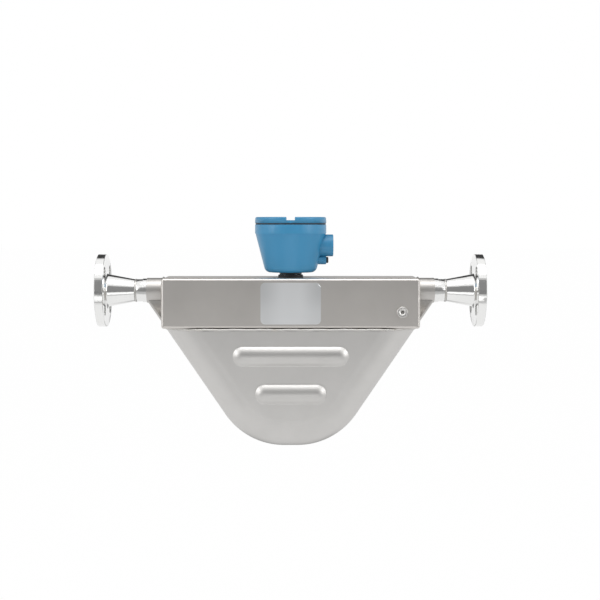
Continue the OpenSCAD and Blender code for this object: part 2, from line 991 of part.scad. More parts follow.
// Two leads run from the feedthrough to the driver and two to each pickoff
module coil_leads() {
    pickoff_x = split_x - pickoff_at * v_cos;
    pickoff_low = -pickoff_at * v_sin + coil_rim(pickoff_magnet_d, pickoff_winding) / v_cos;
    drive_low = tube_low + coil_rim(drive_magnet_d, drive_winding);
    color(amber)
        for (y = [bracket_gap - bobbin_len + lead_d, bracket_gap - lead_d]) {
            lead([[head_x, y, lead_top], [head_x, y, drive_low + lead_gap]]);
            for (side = [-1, 1])
                lead([
                    [head_x + side * lead_pitch, y, lead_top],
                    [head_x + side * lead_pitch, y, lead_run_z],
                    [mid_x + side * pickoff_x, y, lead_run_z],
                    [mid_x + side * pickoff_x, y, pickoff_low + 2 * lead_gap]
                ]);
        }
}

// The temperature sensor's pair comes in from the front, under the coils' leads
module sensor_leads() {
    sensor_x = mid_x - split_x + sensor_at * v_cos;
    sensor_low = -sensor_at * v_sin + (tube_d / 2 + sensor_h) / v_cos;
    low_run_z = lead_run_z - lead_pitch;
    color(amber)
        for (i = [0, 1]) {
            y = -tube_spacing / 2 - lead_pitch / 2 + i * lead_pitch;
            turn_x = head_x - (i + 1) * lead_pitch;
            lead([
                [turn_x, -lead_front, lead_top],
                [turn_x, -lead_front, low_run_z],
                [turn_x, y, low_run_z],
                [sensor_x, y, low_run_z],
                [sensor_x, y, sensor_low + 2 * lead_gap]
            ]);
        }
}

// A sealed header with nine pins closes the housing under the neck
module feedthrough() {
    flange_r = neck_bore / 2 + 5;
    pin_circle_r = 5.6;
    pin_r = 0.6;
    color(polished)
        translate([head_x, 0, 0]) {
            translate([0, 0, feedthrough_low])
                cylinder(h = housing_top - wall - feedthrough_low, r = flange_r);
            translate([0, 0, feedthrough_low])
                cylinder(h = housing_top - feedthrough_low, r = neck_bore / 2 - saddle_clearance);
            for (i = [0 : 8])
                rotate([0, 0, 40 * i + 20])
                    translate([pin_circle_r, 0, pin_low])
                        cylinder(h = housing_top + 8 - pin_low, r = pin_r);
        }
}

// ---------- fittings on the housing ----------

module purge_boss() {
    boss_r = purge_thread_d / 2 + 5;
    boss_len = 8;
    color(steel)
        translate([mid_x + purge_x, 0, -purge_drop])
            difference() {
                bar_y(wall - half_depth, wall + boss_len - half_depth, boss_r);
                bar_y(-half_depth, wall + boss_len + over - half_depth, purge_thread_d / 2);
            }
}

module purge_plug() {
    shank = 9;
    socket_depth_in = 5;
    chamfer = 0.8;
    head = purge_head_d / 2;
    color(polished)
        translate([mid_x + purge_x, -half_depth, -purge_drop])
            difference() {
                union() {
                    rotate([90, 0, 0])
                        rotate_extrude()
                            polygon([
                                [0, 0], [head, 0], [head, purge_head_h - chamfer],
                                [head - chamfer, purge_head_h], [0, purge_head_h]
                            ]);
                    bar_y(0, shank, purge_thread_d / 2 - saddle_clearance);
                }
                bar_y(-purge_head_h - over, socket_depth_in - purge_head_h, purge_socket_d / 2, 6);
            }
}

module label_plate() {
    color(polished)
        translate([mid_x, -half_depth, -label_drop])
            rotate([90, 0, 0])
                linear_extrude(height = label_thk)
                    rounded_square(label_w, label_h, label_r);
}

// ---------- neck ----------

module ring_z(from, to, outer, inner) {
    translate([head_x, 0, from])
        difference() {
            cylinder(h = to - from, r = outer);
            translate([0, 0, -over])
                cylinder(h = to - from + 2 * over, r = inner);
        }
}

module base_ring() {
    color(black) ring_z(housing_top, ring_top, base_ring_d / 2, neck_d / 2 + saddle_clearance);
}

module neck_tube() {
    color(polished)
        difference() {
            union() {
                translate([head_x, 0, housing_top])
                    cylinder(h = neck_top + 2 - housing_top, r = neck_d / 2);
                translate([head_x, 0, ring_top])
                    cylinder(h = neck_flange_h, r = neck_flange_d / 2);
            }
            translate([head_x, 0, housing_top - over])
                cylinder(h = neck_top + 2 - housing_top + 2 * over, r = neck_bore / 2);
        }
}

// A slotted ring nut holds the head down and lets it turn
module neck_nut() {
    slot_w = 4;
    color(polished)
        difference() {
            ring_z(neck_nut_from, neck_top, neck_nut_d / 2, neck_d / 2 + saddle_clearance);
            for (a = [0, 90])
                translate([head_x, 0, neck_top])
                    rotate([0, 0, a])
                        cube([neck_nut_d + over, slot_w, neck_nut_h], center = true);
        }
}

module neck_collar() {
    color(black)
        ring_z(neck_flange_top + turn_gap, head_bottom, collar_d / 2, neck_d / 2 + neck_clearance);
}

// ---------- junction housing ----------

// A boss that points along the pipe, at a height on the head
module head_boss(height, reach, d) {
    chamfer = 0.8;
    translate([head_x, 0, height]) {
        bar_x(boss_from, reach - chamfer, d / 2);
        translate([reach - chamfer, 0, 0])
            rotate([0, 90, 0])
                cylinder(h = chamfer, r1 = d / 2, r2 = d / 2 - chamfer);
    }
}

module junction_body() {
    foot = head_foot_d / 2;
    translate([head_x, 0, 0])
        rotate_extrude()
            polygon(concat(
                [[0, head_bottom]],
                arc(foot - head_corner_r, head_bottom + head_corner_r, head_corner_r, 270, 360 - head_tilt, 8),
                [
                    [taper_top_r, band_bottom - head_step],
                    [head_r, band_bottom], [head_r, head_rim - head_step],
                    [head_r - head_step, head_rim], [0, head_rim]
                ]
            ));
}

module junction_cavity() {
    bevel = 3;
    translate([head_x, 0, 0])
        rotate_extrude()
            polygon([
                [0, head_floor_top], [cavity_foot - bevel, head_floor_top],
                [cavity_foot, head_floor_top + bevel],
                [cavity_top, band_bottom - head_step], [thread_r, thread_from],
                [thread_r, head_rim + over], [0, head_rim + over]
            ]);
}

// A post of the casting carries the board on each of its screws
module at_posts() {
    for (i = [0 : post_count - 1])
        translate([head_x, 0, 0])
            rotate([0, 0, 360 / post_count * i + 60])
                translate([post_circle_r, 0, 0])
                    children();
}

module junction_housing() {
    color(blue)
        difference() {
            union() {
                difference() {
                    union() {
                        junction_body();
                        head_boss(ground_height, ground_reach, ground_boss_d);
                    }
                    junction_cavity();
                }
                at_posts()
                    translate([0, 0, head_floor_top - over])
                        cylinder(h = board_height + over, r = post_r);
            }
            translate([head_x, 0, head_bottom - over])
                cylinder(h = head_floor + 2 * over, r = neck_d / 2 + neck_clearance);
            translate([head_x, 0, conduit_height])
                bar_x(boss_from, conduit_reach, conduit_boss_d / 2);
            translate([head_x, 0, ground_height])
                bar_x(ground_reach - ground_shank - over, ground_reach + over, ground_thread_r);
            at_posts()
                translate([0, 0, board_bottom - post_screw_len])
                    cylinder(h = post_screw_len + over, r = post_screw_r);
        }
}

// The boss stands in a round hole of the casting and takes a conduit's thread
module conduit_boss() {
    conduit_r = conduit_thread_d / 2;
    throat_r = conduit_r - 1.25;
    mouth = 1;
    color(blue)
        difference() {
            head_boss(conduit_height, conduit_reach, conduit_boss_d);
            junction_cavity();
            translate([head_x, 0, conduit_height]) {
                bar_x(boss_from - over, conduit_reach + over, throat_r);
                bar_x(conduit_reach - mouth - conduit_thread_len, conduit_reach + over, conduit_r);
                translate([conduit_reach - mouth, 0, 0])
                    rotate([0, 90, 0])
                        cylinder(h = mouth, r1 = conduit_r, r2 = conduit_r + mouth);
            }
        }
}

module ground_screw() {
    head_h = 3.3;
    head_flat_r = 3.2;
    shoulder_r = 4.5;
    color(black)
        translate([head_x + ground_reach, 0, ground_height])
            rotate([0, 90, 0])
                difference() {
                    rotate_extrude()
                        polygon(concat(
                            [[0, -ground_shank], [ground_thread_r - saddle_clearance, -ground_shank],
                             [ground_thread_r - saddle_clearance, 0], [shoulder_r, 0],
                             [shoulder_r, head_h - 1.3]],
                            arc(head_flat_r, head_h - 1.3, 1.3, 0, 90, 5),
                            [[0, head_h]]
                        ));
                    translate([0, 0, head_h - 1.2])
                        linear_extrude(height = 2)
                            square([2 * shoulder_r + over, 1.1], center = true);
                }
}

// ---------- terminals ----------

module terminal_board() {
    color("darkgreen")
        difference() {
            translate([head_x, 0, board_bottom])
                cylinder(h = board_thk, r = board_d / 2);
            translate([head_x, 0, board_bottom - over])
                cylinder(h = board_thk + 2 * over, r = neck_d / 2 + over);
            at_posts()
                translate([0, 0, board_bottom - over])
                    cylinder(h = board_thk + 2 * over, r = post_screw_r + saddle_clearance);
        }
}

module board_screws() {
    head = 2.8;
    head_h = 1.8;
    color(polished)
        at_posts()
            difference() {
                union() {
                    translate([0, 0, board_top])
                        cylinder(h = head_h, r = head);
                    translate([0, 0, board_bottom - post_screw_len + over])
                        cylinder(h = board_thk + post_screw_len - over, r = post_screw_r - saddle_clearance);
                }
                translate([0, 0, board_top + head_h])
                    cube([2 * head + over, 0.9, 2 * head_h / 2], center = true);
            }
}

module at_terminals() {
    pitch = strip_len / strip_poles;
    for (side = [-1, 1], i = [0 : strip_poles - 1])
        translate([head_x - strip_len / 2 + pitch * (i + 0.5), side * strip_spacing / 2, 0])
            children();
}

// Each pole has a screw well on top and a wire entry on its outer side
module terminal_strips() {
    entry_r = 1.8;
    color(black)
        difference() {
            for (side = [-1, 1])
                translate([head_x - strip_len / 2, side * strip_spacing / 2 - strip_w / 2, board_top])
                    cube([strip_len, strip_w, strip_h]);
            at_terminals() {
                translate([0, 0, board_top + strip_h - screw_well])
                    cylinder(h = screw_well + over, r = terminal_screw_d / 2 + 0.3);
                translate([0, 0, board_top + entry_r + 1])
                    bar_y(-strip_w, strip_w, entry_r);
            }
        }
}

module terminal_screws() {
    head_h = 2;
    color(polished)
        at_terminals()
            difference() {
                translate([0, 0, board_top + strip_h - screw_well])
                    cylinder(h = head_h, r = terminal_screw_d / 2);
                translate([0, 0, board_top + strip_h - screw_well + head_h])
                    cube([terminal_screw_d + over, 0.8, head_h], center = true);
            }
}

// ---------- lid ----------

module lid_seal() {
    color(black)
        ring_z(head_rim, lid_bottom, head_r - lid_seal_back, thread_r + thread_clearance);
}

module lid() {
    edge = 2.4;
    skirt = thread_r - thread_clearance;
    dish = head_r - lid_rim_w;
    floor_z = lid_top - lid_dish;
    color(blue)
        difference() {
            translate([head_x, 0, 0])
                rotate_extrude()
                    polygon(concat(
                        [
                            [0, lid_bottom], [skirt - lid_skirt_wall, lid_bottom],
                            [skirt - lid_skirt_wall, lid_bottom - lid_skirt],
                            [skirt, lid_bottom - lid_skirt], [skirt, lid_bottom], [head_r, lid_bottom]
                        ],
                        arc(head_r - edge, lid_top - edge, edge, 0, 90, 6),
                        [[dish + 1, lid_top], [dish, lid_top - 1], [dish, floor_z], [0, floor_z]]
                    ));
            for (i = [0 : lid_notch_count / 2 - 1])
                translate([head_x, 0, lid_top])
                    rotate([0, 0, 360 / lid_notch_count * i])
                        cube([lid_notch_w, head_d + over, 2 * lid_dish], center = true);
        }
}

inlet_flange();
outlet_flange();
flange_welds();
inlet_manifold();
outlet_manifold();
inlet_splitter();
outlet_splitter();
spigot_welds();
upper_housing();
pod_front();
pod_back();
pod_seam_weld();
housing_weld();
flow_tube_front();
flow_tube_back();
inlet_brace_plates();
outlet_brace_plates();
drive_magnet();
drive_magnet_bracket();
drive_bobbin();
drive_coil();
drive_coil_bracket();
inlet_pickoff_magnet();
inlet_pickoff_magnet_bracket();
inlet_pickoff_bobbin();
inlet_pickoff_coil();
inlet_pickoff_coil_bracket();
outlet_pickoff_magnet();
outlet_pickoff_magnet_bracket();
outlet_pickoff_bobbin();
outlet_pickoff_coil();
outlet_pickoff_coil_bracket();
temperature_sensor();
coil_leads();
sensor_leads();
feedthrough();
purge_boss();
purge_plug();
label_plate();
base_ring();
neck_tube();
neck_nut();
neck_collar();
junction_housing();
conduit_boss();
terminal_board();
board_screws();
terminal_strips();
terminal_screws();
ground_screw();
lid_seal();
lid();
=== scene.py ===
"""The dressed coriolis flow meter: shells, weld beads, finishes, studio and camera.

Metres, in the frame of the solids: the origin is the centre of the inlet sealing face,
+X runs downstream, +Z up, and the label side faces -Y.
"""

from __future__ import annotations

import json
import logging
import math
from collections import Counter
from dataclasses import dataclass, field
from enum import Enum
from typing import Any, Callable, Sequence, Union

import bpy
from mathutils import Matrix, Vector

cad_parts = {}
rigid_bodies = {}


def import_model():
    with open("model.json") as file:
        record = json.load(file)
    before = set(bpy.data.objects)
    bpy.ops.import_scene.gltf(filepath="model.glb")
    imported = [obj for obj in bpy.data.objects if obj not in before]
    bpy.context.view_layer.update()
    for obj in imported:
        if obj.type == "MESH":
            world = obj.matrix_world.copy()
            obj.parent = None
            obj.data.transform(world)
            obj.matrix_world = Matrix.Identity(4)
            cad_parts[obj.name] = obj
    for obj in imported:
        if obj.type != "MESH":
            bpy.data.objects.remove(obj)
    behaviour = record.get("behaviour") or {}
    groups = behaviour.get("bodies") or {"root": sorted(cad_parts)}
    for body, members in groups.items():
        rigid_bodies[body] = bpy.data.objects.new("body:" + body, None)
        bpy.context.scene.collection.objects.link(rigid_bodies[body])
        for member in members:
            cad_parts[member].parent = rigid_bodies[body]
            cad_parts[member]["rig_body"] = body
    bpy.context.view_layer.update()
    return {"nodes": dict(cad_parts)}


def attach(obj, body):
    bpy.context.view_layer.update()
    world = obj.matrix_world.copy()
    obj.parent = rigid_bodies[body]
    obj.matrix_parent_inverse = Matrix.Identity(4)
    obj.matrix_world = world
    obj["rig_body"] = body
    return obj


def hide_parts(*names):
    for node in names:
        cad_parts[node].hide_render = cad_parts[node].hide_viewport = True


LOG = logging.getLogger("flow_meter")
MM = 0.001
TOUCH = 1e-5
"""Points nearer than this count as one place."""
FINE = 1e-6
"""The same between points that were made alike."""
CRISP = 50.0
"""The sharpest edge of a weld bead that is shaded smooth, in degrees."""
Colour = tuple[float, float, float]
Point = tuple[float, float, float]


def linear(red: int, green: int, blue: int) -> Colour:
    """The linear colour of three display values from 0 to 255."""

    def channel(value: int) -> float:
        """One display value as linear light."""
        share = value / 255
        return share / 12.92 if share <= 0.04045 else ((share + 0.055) / 1.055) ** 2.4

    return channel(red), channel(green), channel(blue)


def scaled(colour: Colour, factor: float) -> Colour:
    """A colour made lighter or darker, up to full."""
    red, green, blue = (min(1.0, part * factor) for part in colour)
    return red, green, blue


# ---------------------------------------------------------------- shader graphs


class Signal:
    """A shader socket that takes part in Python arithmetic."""

    def __init__(self, graph: "Graph", socket: bpy.types.NodeSocket) -> None:
        """Wraps a socket of a graph."""
        self.graph = graph
        self.socket = socket

    def __add__(self, other: "Number") -> "Signal":
        """Sum."""
        return self.graph.math("ADD", self, other)

    __radd__ = __add__

    def __sub__(self, other: "Number") -> "Signal":
        """Difference."""
        return self.graph.math("SUBTRACT", self, other)

    def __rsub__(self, other: "Number") -> "Signal":
        """Difference from a number."""
        return self.graph.math("SUBTRACT", other, self)

    def __mul__(self, other: "Number") -> "Signal":
        """Product."""
        return self.graph.math("MULTIPLY", self, other)

    __rmul__ = __mul__

    def __truediv__(self, other: "Number") -> "Signal":
        """Quotient."""
        return self.graph.math("DIVIDE", self, other)

    def rise(self, start: float, end: float) -> "Signal":
        """0 below start and 1 above end, or the other way round, with a soft step.

        Args:
            start: where the step leaves 0.
            end: where it reaches 1; it may lie below start.

        Returns:
            The step's value.
        """
        node = self.graph.node(
            "ShaderNodeMapRange",
            {"interpolation_type": "SMOOTHSTEP"},
            {0: self, 1: start, 2: end, 3: 0.0, 4: 1.0},
        )
        return Signal(self.graph, node.outputs[0])


Number = Union[Signal, float]


class Graph:
    """A node tree that is filled by method calls."""

    def __init__(self, tree: bpy.types.NodeTree) -> None:
        """Empties the tree for new nodes."""
        self.tree = tree
        tree.nodes.clear()

    def node(
        self,
        kind: str,
        settings: dict[str, Any] | None = None,
        inputs: dict[Union[int, str], Any] | None = None,
    ) -> bpy.types.Node:
        """Adds one node.

        Args:
            kind: the node's type.
            settings: its settings, made before its sockets; "stops" holds a ramp's stops.
            inputs: socket name or index to a value or a Signal.

        Returns:
            The new node.
        """
        made = self.tree.nodes.new(kind)
        for key, value in (settings or {}).items():
            if key == "stops":
                ramp = made.color_ramp
                while len(ramp.elements) < len(value):
                    ramp.elements.new(1.0)
                for element, (place, colour) in zip(ramp.elements, value):
                    element.position = place
                    element.color = (*colour, 1.0)
            else:
                setattr(made, key, value)
        for key, value in (inputs or {}).items():
            if isinstance(value, Signal):
                self.tree.links.new(value.socket, made.inputs[key])
            else:
                made.inputs[key].default_value = value
        return made

    def math(self, operation: str, *values: Number) -> Signal:
        """A Math node on numbers and signals."""
        node = self.node("ShaderNodeMath", {"operation": operation}, dict(enumerate(values)))
        return Signal(self, node.outputs[0])

    def place(self, stretch: Point = (1.0, 1.0, 1.0)) -> Signal:
        """The object's own coordinates, stretched along the three axes."""
        coordinates = self.node("ShaderNodeTexCoord").outputs["Object"]
        mapping = self.node(
            "ShaderNodeMapping", None, {"Vector": Signal(self, coordinates), "Scale": stretch}
        )
        return Signal(self, mapping.outputs[0])

    def axes(self, vector: Signal) -> tuple[Signal, Signal, Signal]:
        """The three parts of a vector."""
        node = self.node("ShaderNodeSeparateXYZ", None, {0: vector})
        first, second, third = (Signal(self, node.outputs[i]) for i in range(3))
        return first, second, third

    def noise(
        self, scale: float, stretch: Point = (1.0, 1.0, 1.0), detail: float = 3.0
    ) -> Signal:
        """Soft noise from 0 to 1, with a number of waves to the metre."""
        node = self.node(
            "ShaderNodeTexNoise",
            None,
            {"Vector": self.place(stretch), "Scale": scale, "Detail": detail, "Roughness": 0.55},
        )
        return Signal(self, node.outputs[0])

    def cells(self, scale: float) -> Signal:
        """Distance to the nearest of many scattered points."""
        node = self.node("ShaderNodeTexVoronoi", None, {"Vector": self.place(), "Scale": scale})
        return Signal(self, node.outputs["Distance"])

    def blend(
        self, share: Number, first: Union[Signal, Colour], second: Union[Signal, Colour]
    ) -> Signal:
        """A mix of two colours."""

        def full(colour: Union[Signal, Colour]) -> Any:
            """A colour with its alpha, or the signal as it is."""
            return colour if isinstance(colour, Signal) else (*colour, 1.0)

        node = self.node(
            "ShaderNodeMix", {"data_type": "RGBA"}, {0: share, 6: full(first), 7: full(second)}
        )
        return Signal(self, node.outputs[2])

    def relief(
        self, height: Signal, depth: float, strength: float = 1.0, under: Signal | None = None
    ) -> Signal:
        """A bump in the surface's normal.

        Args:
            height: the relief, from 0 to 1.
            depth: its depth in metres.
            strength: how much of it shows.
            under: a coarser relief that this one lies on.

        Returns:
            The normal.
        """
        inputs: dict[Union[int, str], Any] = {
            "Height": height,
            "Distance": depth,
            "Strength": strength,
        }
        if under is not None:
            inputs["Normal"] = under
        return Signal(self, self.node("ShaderNodeBump", None, inputs).outputs[0])

    def surface(self, **sockets: Any) -> None:
        """Ends a material in one Principled shader with the given sockets."""
        inputs = {key.replace("_", " "): value for key, value in sockets.items()}
        shader = self.node("ShaderNodeBsdfPrincipled", None, inputs)
        self.node("ShaderNodeOutputMaterial", None, {0: Signal(self, shader.outputs[0])})


# ---------------------------------------------------------------- finishes


@dataclass(frozen=True)
class Finish:
    """A surface finish that makes one material when it is first used."""

    title: str
    colour: Colour
    roughness: float

    def material(self) -> bpy.types.Material:
        """This finish's material, made once."""
        known = bpy.data.materials.get(self.title)
        if known is not None:
            return known
        made = bpy.data.materials.new(self.title)
        made.use_nodes = True
        made.diffuse_color = (*self.colour, 1.0)
        self.fill(Graph(made.node_tree))
        return made

    def shades(self, graph: Graph, amount: float, waves: float) -> Signal:
        """This finish's colour with soft lighter and darker areas.

        Args:
            graph: the material's graph.
            amount: the share by which the colour goes up and down.
            waves: how many waves of it there are to the metre.

        Returns:
            The colour.
        """
        dark, light = scaled(self.colour, 1 - amount), scaled(self.colour, 1 + amount)
        return graph.blend(graph.noise(waves), dark, light)

    def fill(self, graph: Graph) -> None:
        """Builds the shader; each kind of finish has its own."""
        raise NotImplementedError


class Grain(Enum):
    """Which way the fine lines of a worked metal run."""

    ROUND_X = (2600.0, 6.0, 6.0)
    ROUND_Z = (6.0, 6.0, 2600.0)
    ALONG_X = (8.0, 2600.0, 2600.0)


@dataclass(frozen=True)
class WorkedMetal(Finish):
    """Turned, drawn or brushed metal with fine lines one way."""

    grain: Grain = Grain.ROUND_X
    line_depth: float = 4e-6
    spread: float = 0.06
    cloud_share: float = 0.04
    cloud_waves: float = 35.0
    wear_waves: float = 22.0

    def lines(self, graph: Graph) -> Signal:
        """The fine lines that the tool or the drawing leaves."""
        return graph.noise(1.0, self.grain.value, 2.0)

    def clouded(self, graph: Graph) -> Signal:
        """The metal's colour with faint clouds."""
        return self.shades(graph, self.cloud_share, self.cloud_waves)

    def worn(self, graph: Graph, lines: Signal) -> Signal:
        """A roughness that follows the lines and soft patches of wear."""
        wear = graph.noise(self.wear_waves)
        return lines * self.spread + wear * self.spread + (self.roughness - self.spread)

    def fill(self, graph: Graph) -> None:
        """Lines in the relief and the roughness, and faint clouds in the colour."""
        lines = self.lines(graph)
        graph.surface(
            Base_Color=self.clouded(graph),
            Metallic=1.0,
            Roughness=self.worn(graph, lines),
            Normal=graph.relief(lines, self.line_depth, 0.6),
        )


@dataclass(frozen=True)
class FlangeMetal(WorkedMetal):
    """Turned flange steel whose sealing faces have fine concentric grooves."""

    length: float = 0.575
    groove_pitch: float = 0.0009
    face_depth: tuple[float, float] = (0.0012, 0.0004)
    face_edge: tuple[float, float] = (0.0256, 0.0252)
    face_roughness: float = 0.12

    def fill(self, graph: Graph) -> None:
        """The turned lines, and grooves where the raised faces are."""
        x, y, z = graph.axes(graph.place())
        radius = graph.math("SQRT", y * y + z * z)
        grooves = graph.math("SINE", radius * (2 * math.pi / self.groove_pitch)) * 0.5 + 0.5
        start, end = self.face_depth
        inlet_face = x.rise(start, end)
        outlet_face = x.rise(self.length - start, self.length - end)
        face = (inlet_face + outlet_face) * radius.rise(*self.face_edge)
        lines = self.lines(graph)
        turned = graph.relief(lines, self.line_depth, 0.6)
        graph.surface(
            Base_Color=self.clouded(graph),
            Metallic=1.0,
            Roughness=self.worn(graph, lines) + face * self.face_roughness,
            Normal=graph.relief(grooves * face, 5e-5, 0.8, turned),
        )


@dataclass(frozen=True)
class SteppedMetal(WorkedMetal):
    """Satin turned steel with a polished ring at each end of the meter."""

    length: float = 0.575
    ring_from: float = 0.0678
    ring_to: float = 0.0738
    ring_edge: float = 2e-4
    ring_colour: Colour = (0.86, 0.86, 0.85)
    ring_polish: float = 0.25

    def bright_parts(self, along: Signal) -> tuple[Signal, Signal]:
        """The polished ring, and the pipe before it, at one end of the meter."""
        before = self.ring_from - self.ring_edge
        ring = along.rise(before, self.ring_from) * along.rise(
            self.ring_to, self.ring_to - self.ring_edge
        )
        return ring, along.rise(self.ring_from, before)

    def fill(self, graph: Graph) -> None:
        """Satin lines, and a bright band over the step."""
        x, _, _ = graph.axes(graph.place())
        inlet_ring, inlet_pipe = self.bright_parts(x)
        outlet_ring, outlet_pipe = self.bright_parts(self.length - x)
        rings, pipes = inlet_ring + outlet_ring, inlet_pipe + outlet_pipe
        bright = graph.math("MINIMUM", rings + pipes, 1.0)
        lines = self.lines(graph)
        rough = lines * self.spread + (self.roughness - self.spread / 2)
        graph.surface(
            Base_Color=graph.blend(bright, self.clouded(graph), self.ring_colour),
            Metallic=1.0,
            Roughness=rough - bright * self.ring_polish,
            Normal=graph.relief(lines, self.line_depth, 0.5),
        )


@dataclass(frozen=True)
class LabelMetal(WorkedMetal):
    """Satin plate metal with painted shade: a little darker towards its left and right edges, more
    so near the top.
    """

    middle: float = 0.2875
    half_width: float = 0.044
    painted_edge_shade: float = 0.80
    painted_shade_rise: tuple[float, float] = (-0.036, 0.002)

    def fill(self, graph: Graph) -> None:
        """Fine lines along the plate, and the painted shade that darkens it towards its edges."""
        x, _, z = graph.axes(graph.place())
        aside = graph.math("ABSOLUTE", x - self.middle).rise(0.2 * self.half_width, self.half_width)
        lines = self.lines(graph)
        # painted shade: the colour darkens towards the left and right edges, fully near the top and
        # by half lower down
        share = aside * (z.rise(*self.painted_shade_rise) * 0.5 + 0.5)
        graph.surface(
            Base_Color=graph.blend(share, self.colour, scaled(self.colour, self.painted_edge_shade)),
            Metallic=1.0,
            Roughness=lines * self.spread + (self.roughness - self.spread / 2),
            Normal=graph.relief(lines, self.line_depth, 0.5),
        )


@dataclass(frozen=True)
class BlastedMetal(Finish):
    """Bead-blasted sheet steel: a fine pitted grain and cloudy patches."""

    clouds: float = 0.05

    def fill(self, graph: Graph) -> None:
        """Grain at a third of a millimetre, and clouds in colour and roughness."""
        fine = graph.noise(2600.0, detail=2.0)
        patches = graph.noise(16.0, detail=4.0)
        pits = graph.cells(900.0).rise(0.0, 0.35)
        waves = graph.relief(graph.noise(9.0, detail=2.0), 4e-4, 0.25)
        graph.surface(
            Base_Color=self.shades(graph, self.clouds, 26.0),
            Metallic=1.0,
            Roughness=patches * 0.08 + fine * 0.06 + (self.roughness - 0.07),
            Normal=graph.relief(fine * 0.7 + pits * 0.3, 2.5e-5, 0.55, waves),
        )


@dataclass(frozen=True)
class WeldMetal(Finish):
    """The bright metal of a weld, with a faint straw tint in places."""

    tint: Colour = (0.56, 0.47, 0.36)

    def fill(self, graph: Graph) -> None:
        """A tint in patches over a slightly rough bright metal."""
        patches = graph.noise(60.0, detail=3.0).rise(0.5, 0.8)
        fine = graph.noise(1500.0, detail=2.0)
        graph.surface(
            Base_Color=graph.blend(patches * 0.35, self.colour, self.tint),
            Metallic=1.0,
            Roughness=fine * 0.1 + (self.roughness - 0.05),
            Normal=graph.relief(fine, 3e-5, 0.5),
        )


@dataclass(frozen=True)
class Paint(Finish):
    """Powder coat on a casting: an even colour with a soft orange peel."""

    coat: float = 0.25

    def fill(self, graph: Graph) -> None:
        """Orange peel at about a millimetre, and a faint cloud in the colour."""
        peel = graph.noise(900.0, detail=1.0)
        casting = graph.relief(graph.noise(60.0, detail=2.0), 2.5e-4, 0.25)
        graph.surface(
            Base_Color=self.shades(graph, 0.05, 45.0),
            Roughness=graph.noise(300.0) * 0.1 + (self.roughness - 0.05),
            Coat_Weight=self.coat,
            Coat_Roughness=0.25,
            Normal=graph.relief(peel, 4e-5, 0.45, casting),
        )


@dataclass(frozen=True)
class Moulded(Finish):
    """Plastic, rubber or resin with a fine even grain."""

    grain: float = 1800.0
    depth: float = 3e-5

    def fill(self, graph: Graph) -> None:
        """Fine grain in the relief, and small changes of colour and roughness."""
        fine = graph.noise(self.grain, detail=2.0)
        graph.surface(
            Base_Color=self.shades(graph, 0.12, 70.0),
            Roughness=graph.noise(120.0) * 0.12 + (self.roughness - 0.06),
            Normal=graph.relief(fine, self.depth, 0.5),
        )


@dataclass(frozen=True)
class Winding(Finish):
    """Enamelled wire wound about the depth axis."""

    wire: float = 0.0004
    painted_groove_shade: float = 0.6

    def fill(self, graph: Graph) -> None:
        """One ridge for each turn of the wire, with painted shade in the grooves between the turns.
        """
        _, y, _ = graph.axes(graph.place())
        turns = graph.math("SINE", y * (2 * math.pi / self.wire)) * 0.5 + 0.5
        graph.surface(
            # painted shade: the colour darkens in the grooves between the turns of wire
            Base_Color=graph.blend(turns, scaled(self.colour, self.painted_groove_shade), self.colour),
            Metallic=0.8,
            Roughness=turns * 0.1 + self.roughness,
            Normal=graph.relief(turns, 1.2e-4, 0.8),
        )


POLISHED = FlangeMetal("polished flange steel", (0.88, 0.88, 0.87), 0.13, spread=0.05)
BRIGHT = WorkedMetal("bright turned steel", (0.84, 0.84, 0.83), 0.16, spread=0.05)
STEPPED = SteppedMetal("stepped manifold steel", (0.57, 0.555, 0.535), 0.43, line_depth=8e-6)
PLUG = WorkedMetal("satin plug steel", (0.70, 0.69, 0.67), 0.38, grain=Grain.ALONG_X)
DRAWN = WorkedMetal("drawn tube steel", (0.74, 0.73, 0.71), 0.22, grain=Grain.ALONG_X)
HOUSING = BlastedMetal("blasted housing steel", (0.665, 0.64, 0.61), 0.40)
POD = BlastedMetal("blasted pod steel", (0.63, 0.62, 0.605), 0.45, clouds=0.06)
INNER = BlastedMetal("blasted inner steel", (0.60, 0.59, 0.57), 0.45)
WELD = WeldMetal("weld metal", (0.62, 0.61, 0.59), 0.42)
LABEL = LabelMetal(
    "satin label metal", (0.93, 0.945, 0.955), 0.42, grain=Grain.ALONG_X, line_depth=3e-6
)
NICKEL = WorkedMetal("nickel plate", (0.78, 0.76, 0.72), 0.2, grain=Grain.ROUND_Z)
BLUE = Paint("blue powder coat", linear(46, 128, 170), 0.42)
BLACK_STEEL = Moulded("blackened screw steel", (0.025, 0.025, 0.027), 0.38)
RUBBER = Moulded("black rubber", (0.022, 0.022, 0.024), 0.62)
BLACK = Moulded("black plastic", (0.03, 0.03, 0.033), 0.45)
RESIN = Moulded("sensor resin", (0.45, 0.24, 0.07), 0.35)
INSULATION = Moulded("lead insulation", (0.62, 0.40, 0.09), 0.4)
BOARD = Moulded("board mask", (0.02, 0.13, 0.06), 0.3)
COPPER = Winding("copper winding", (0.66, 0.30, 0.12), 0.3)


# ---------------------------------------------------------------- pieces


def only_none() -> None:
    """Leaves edit mode and deselects everything."""
    if bpy.context.mode != "OBJECT":
        bpy.ops.object.mode_set(mode="OBJECT")
    bpy.ops.object.select_all(action="DESELECT")


def only(thing: bpy.types.Object) -> None:
    """Selects one object alone and makes it the active one."""
    only_none()
    thing.select_set(True)
    bpy.context.view_layer.objects.active = thing


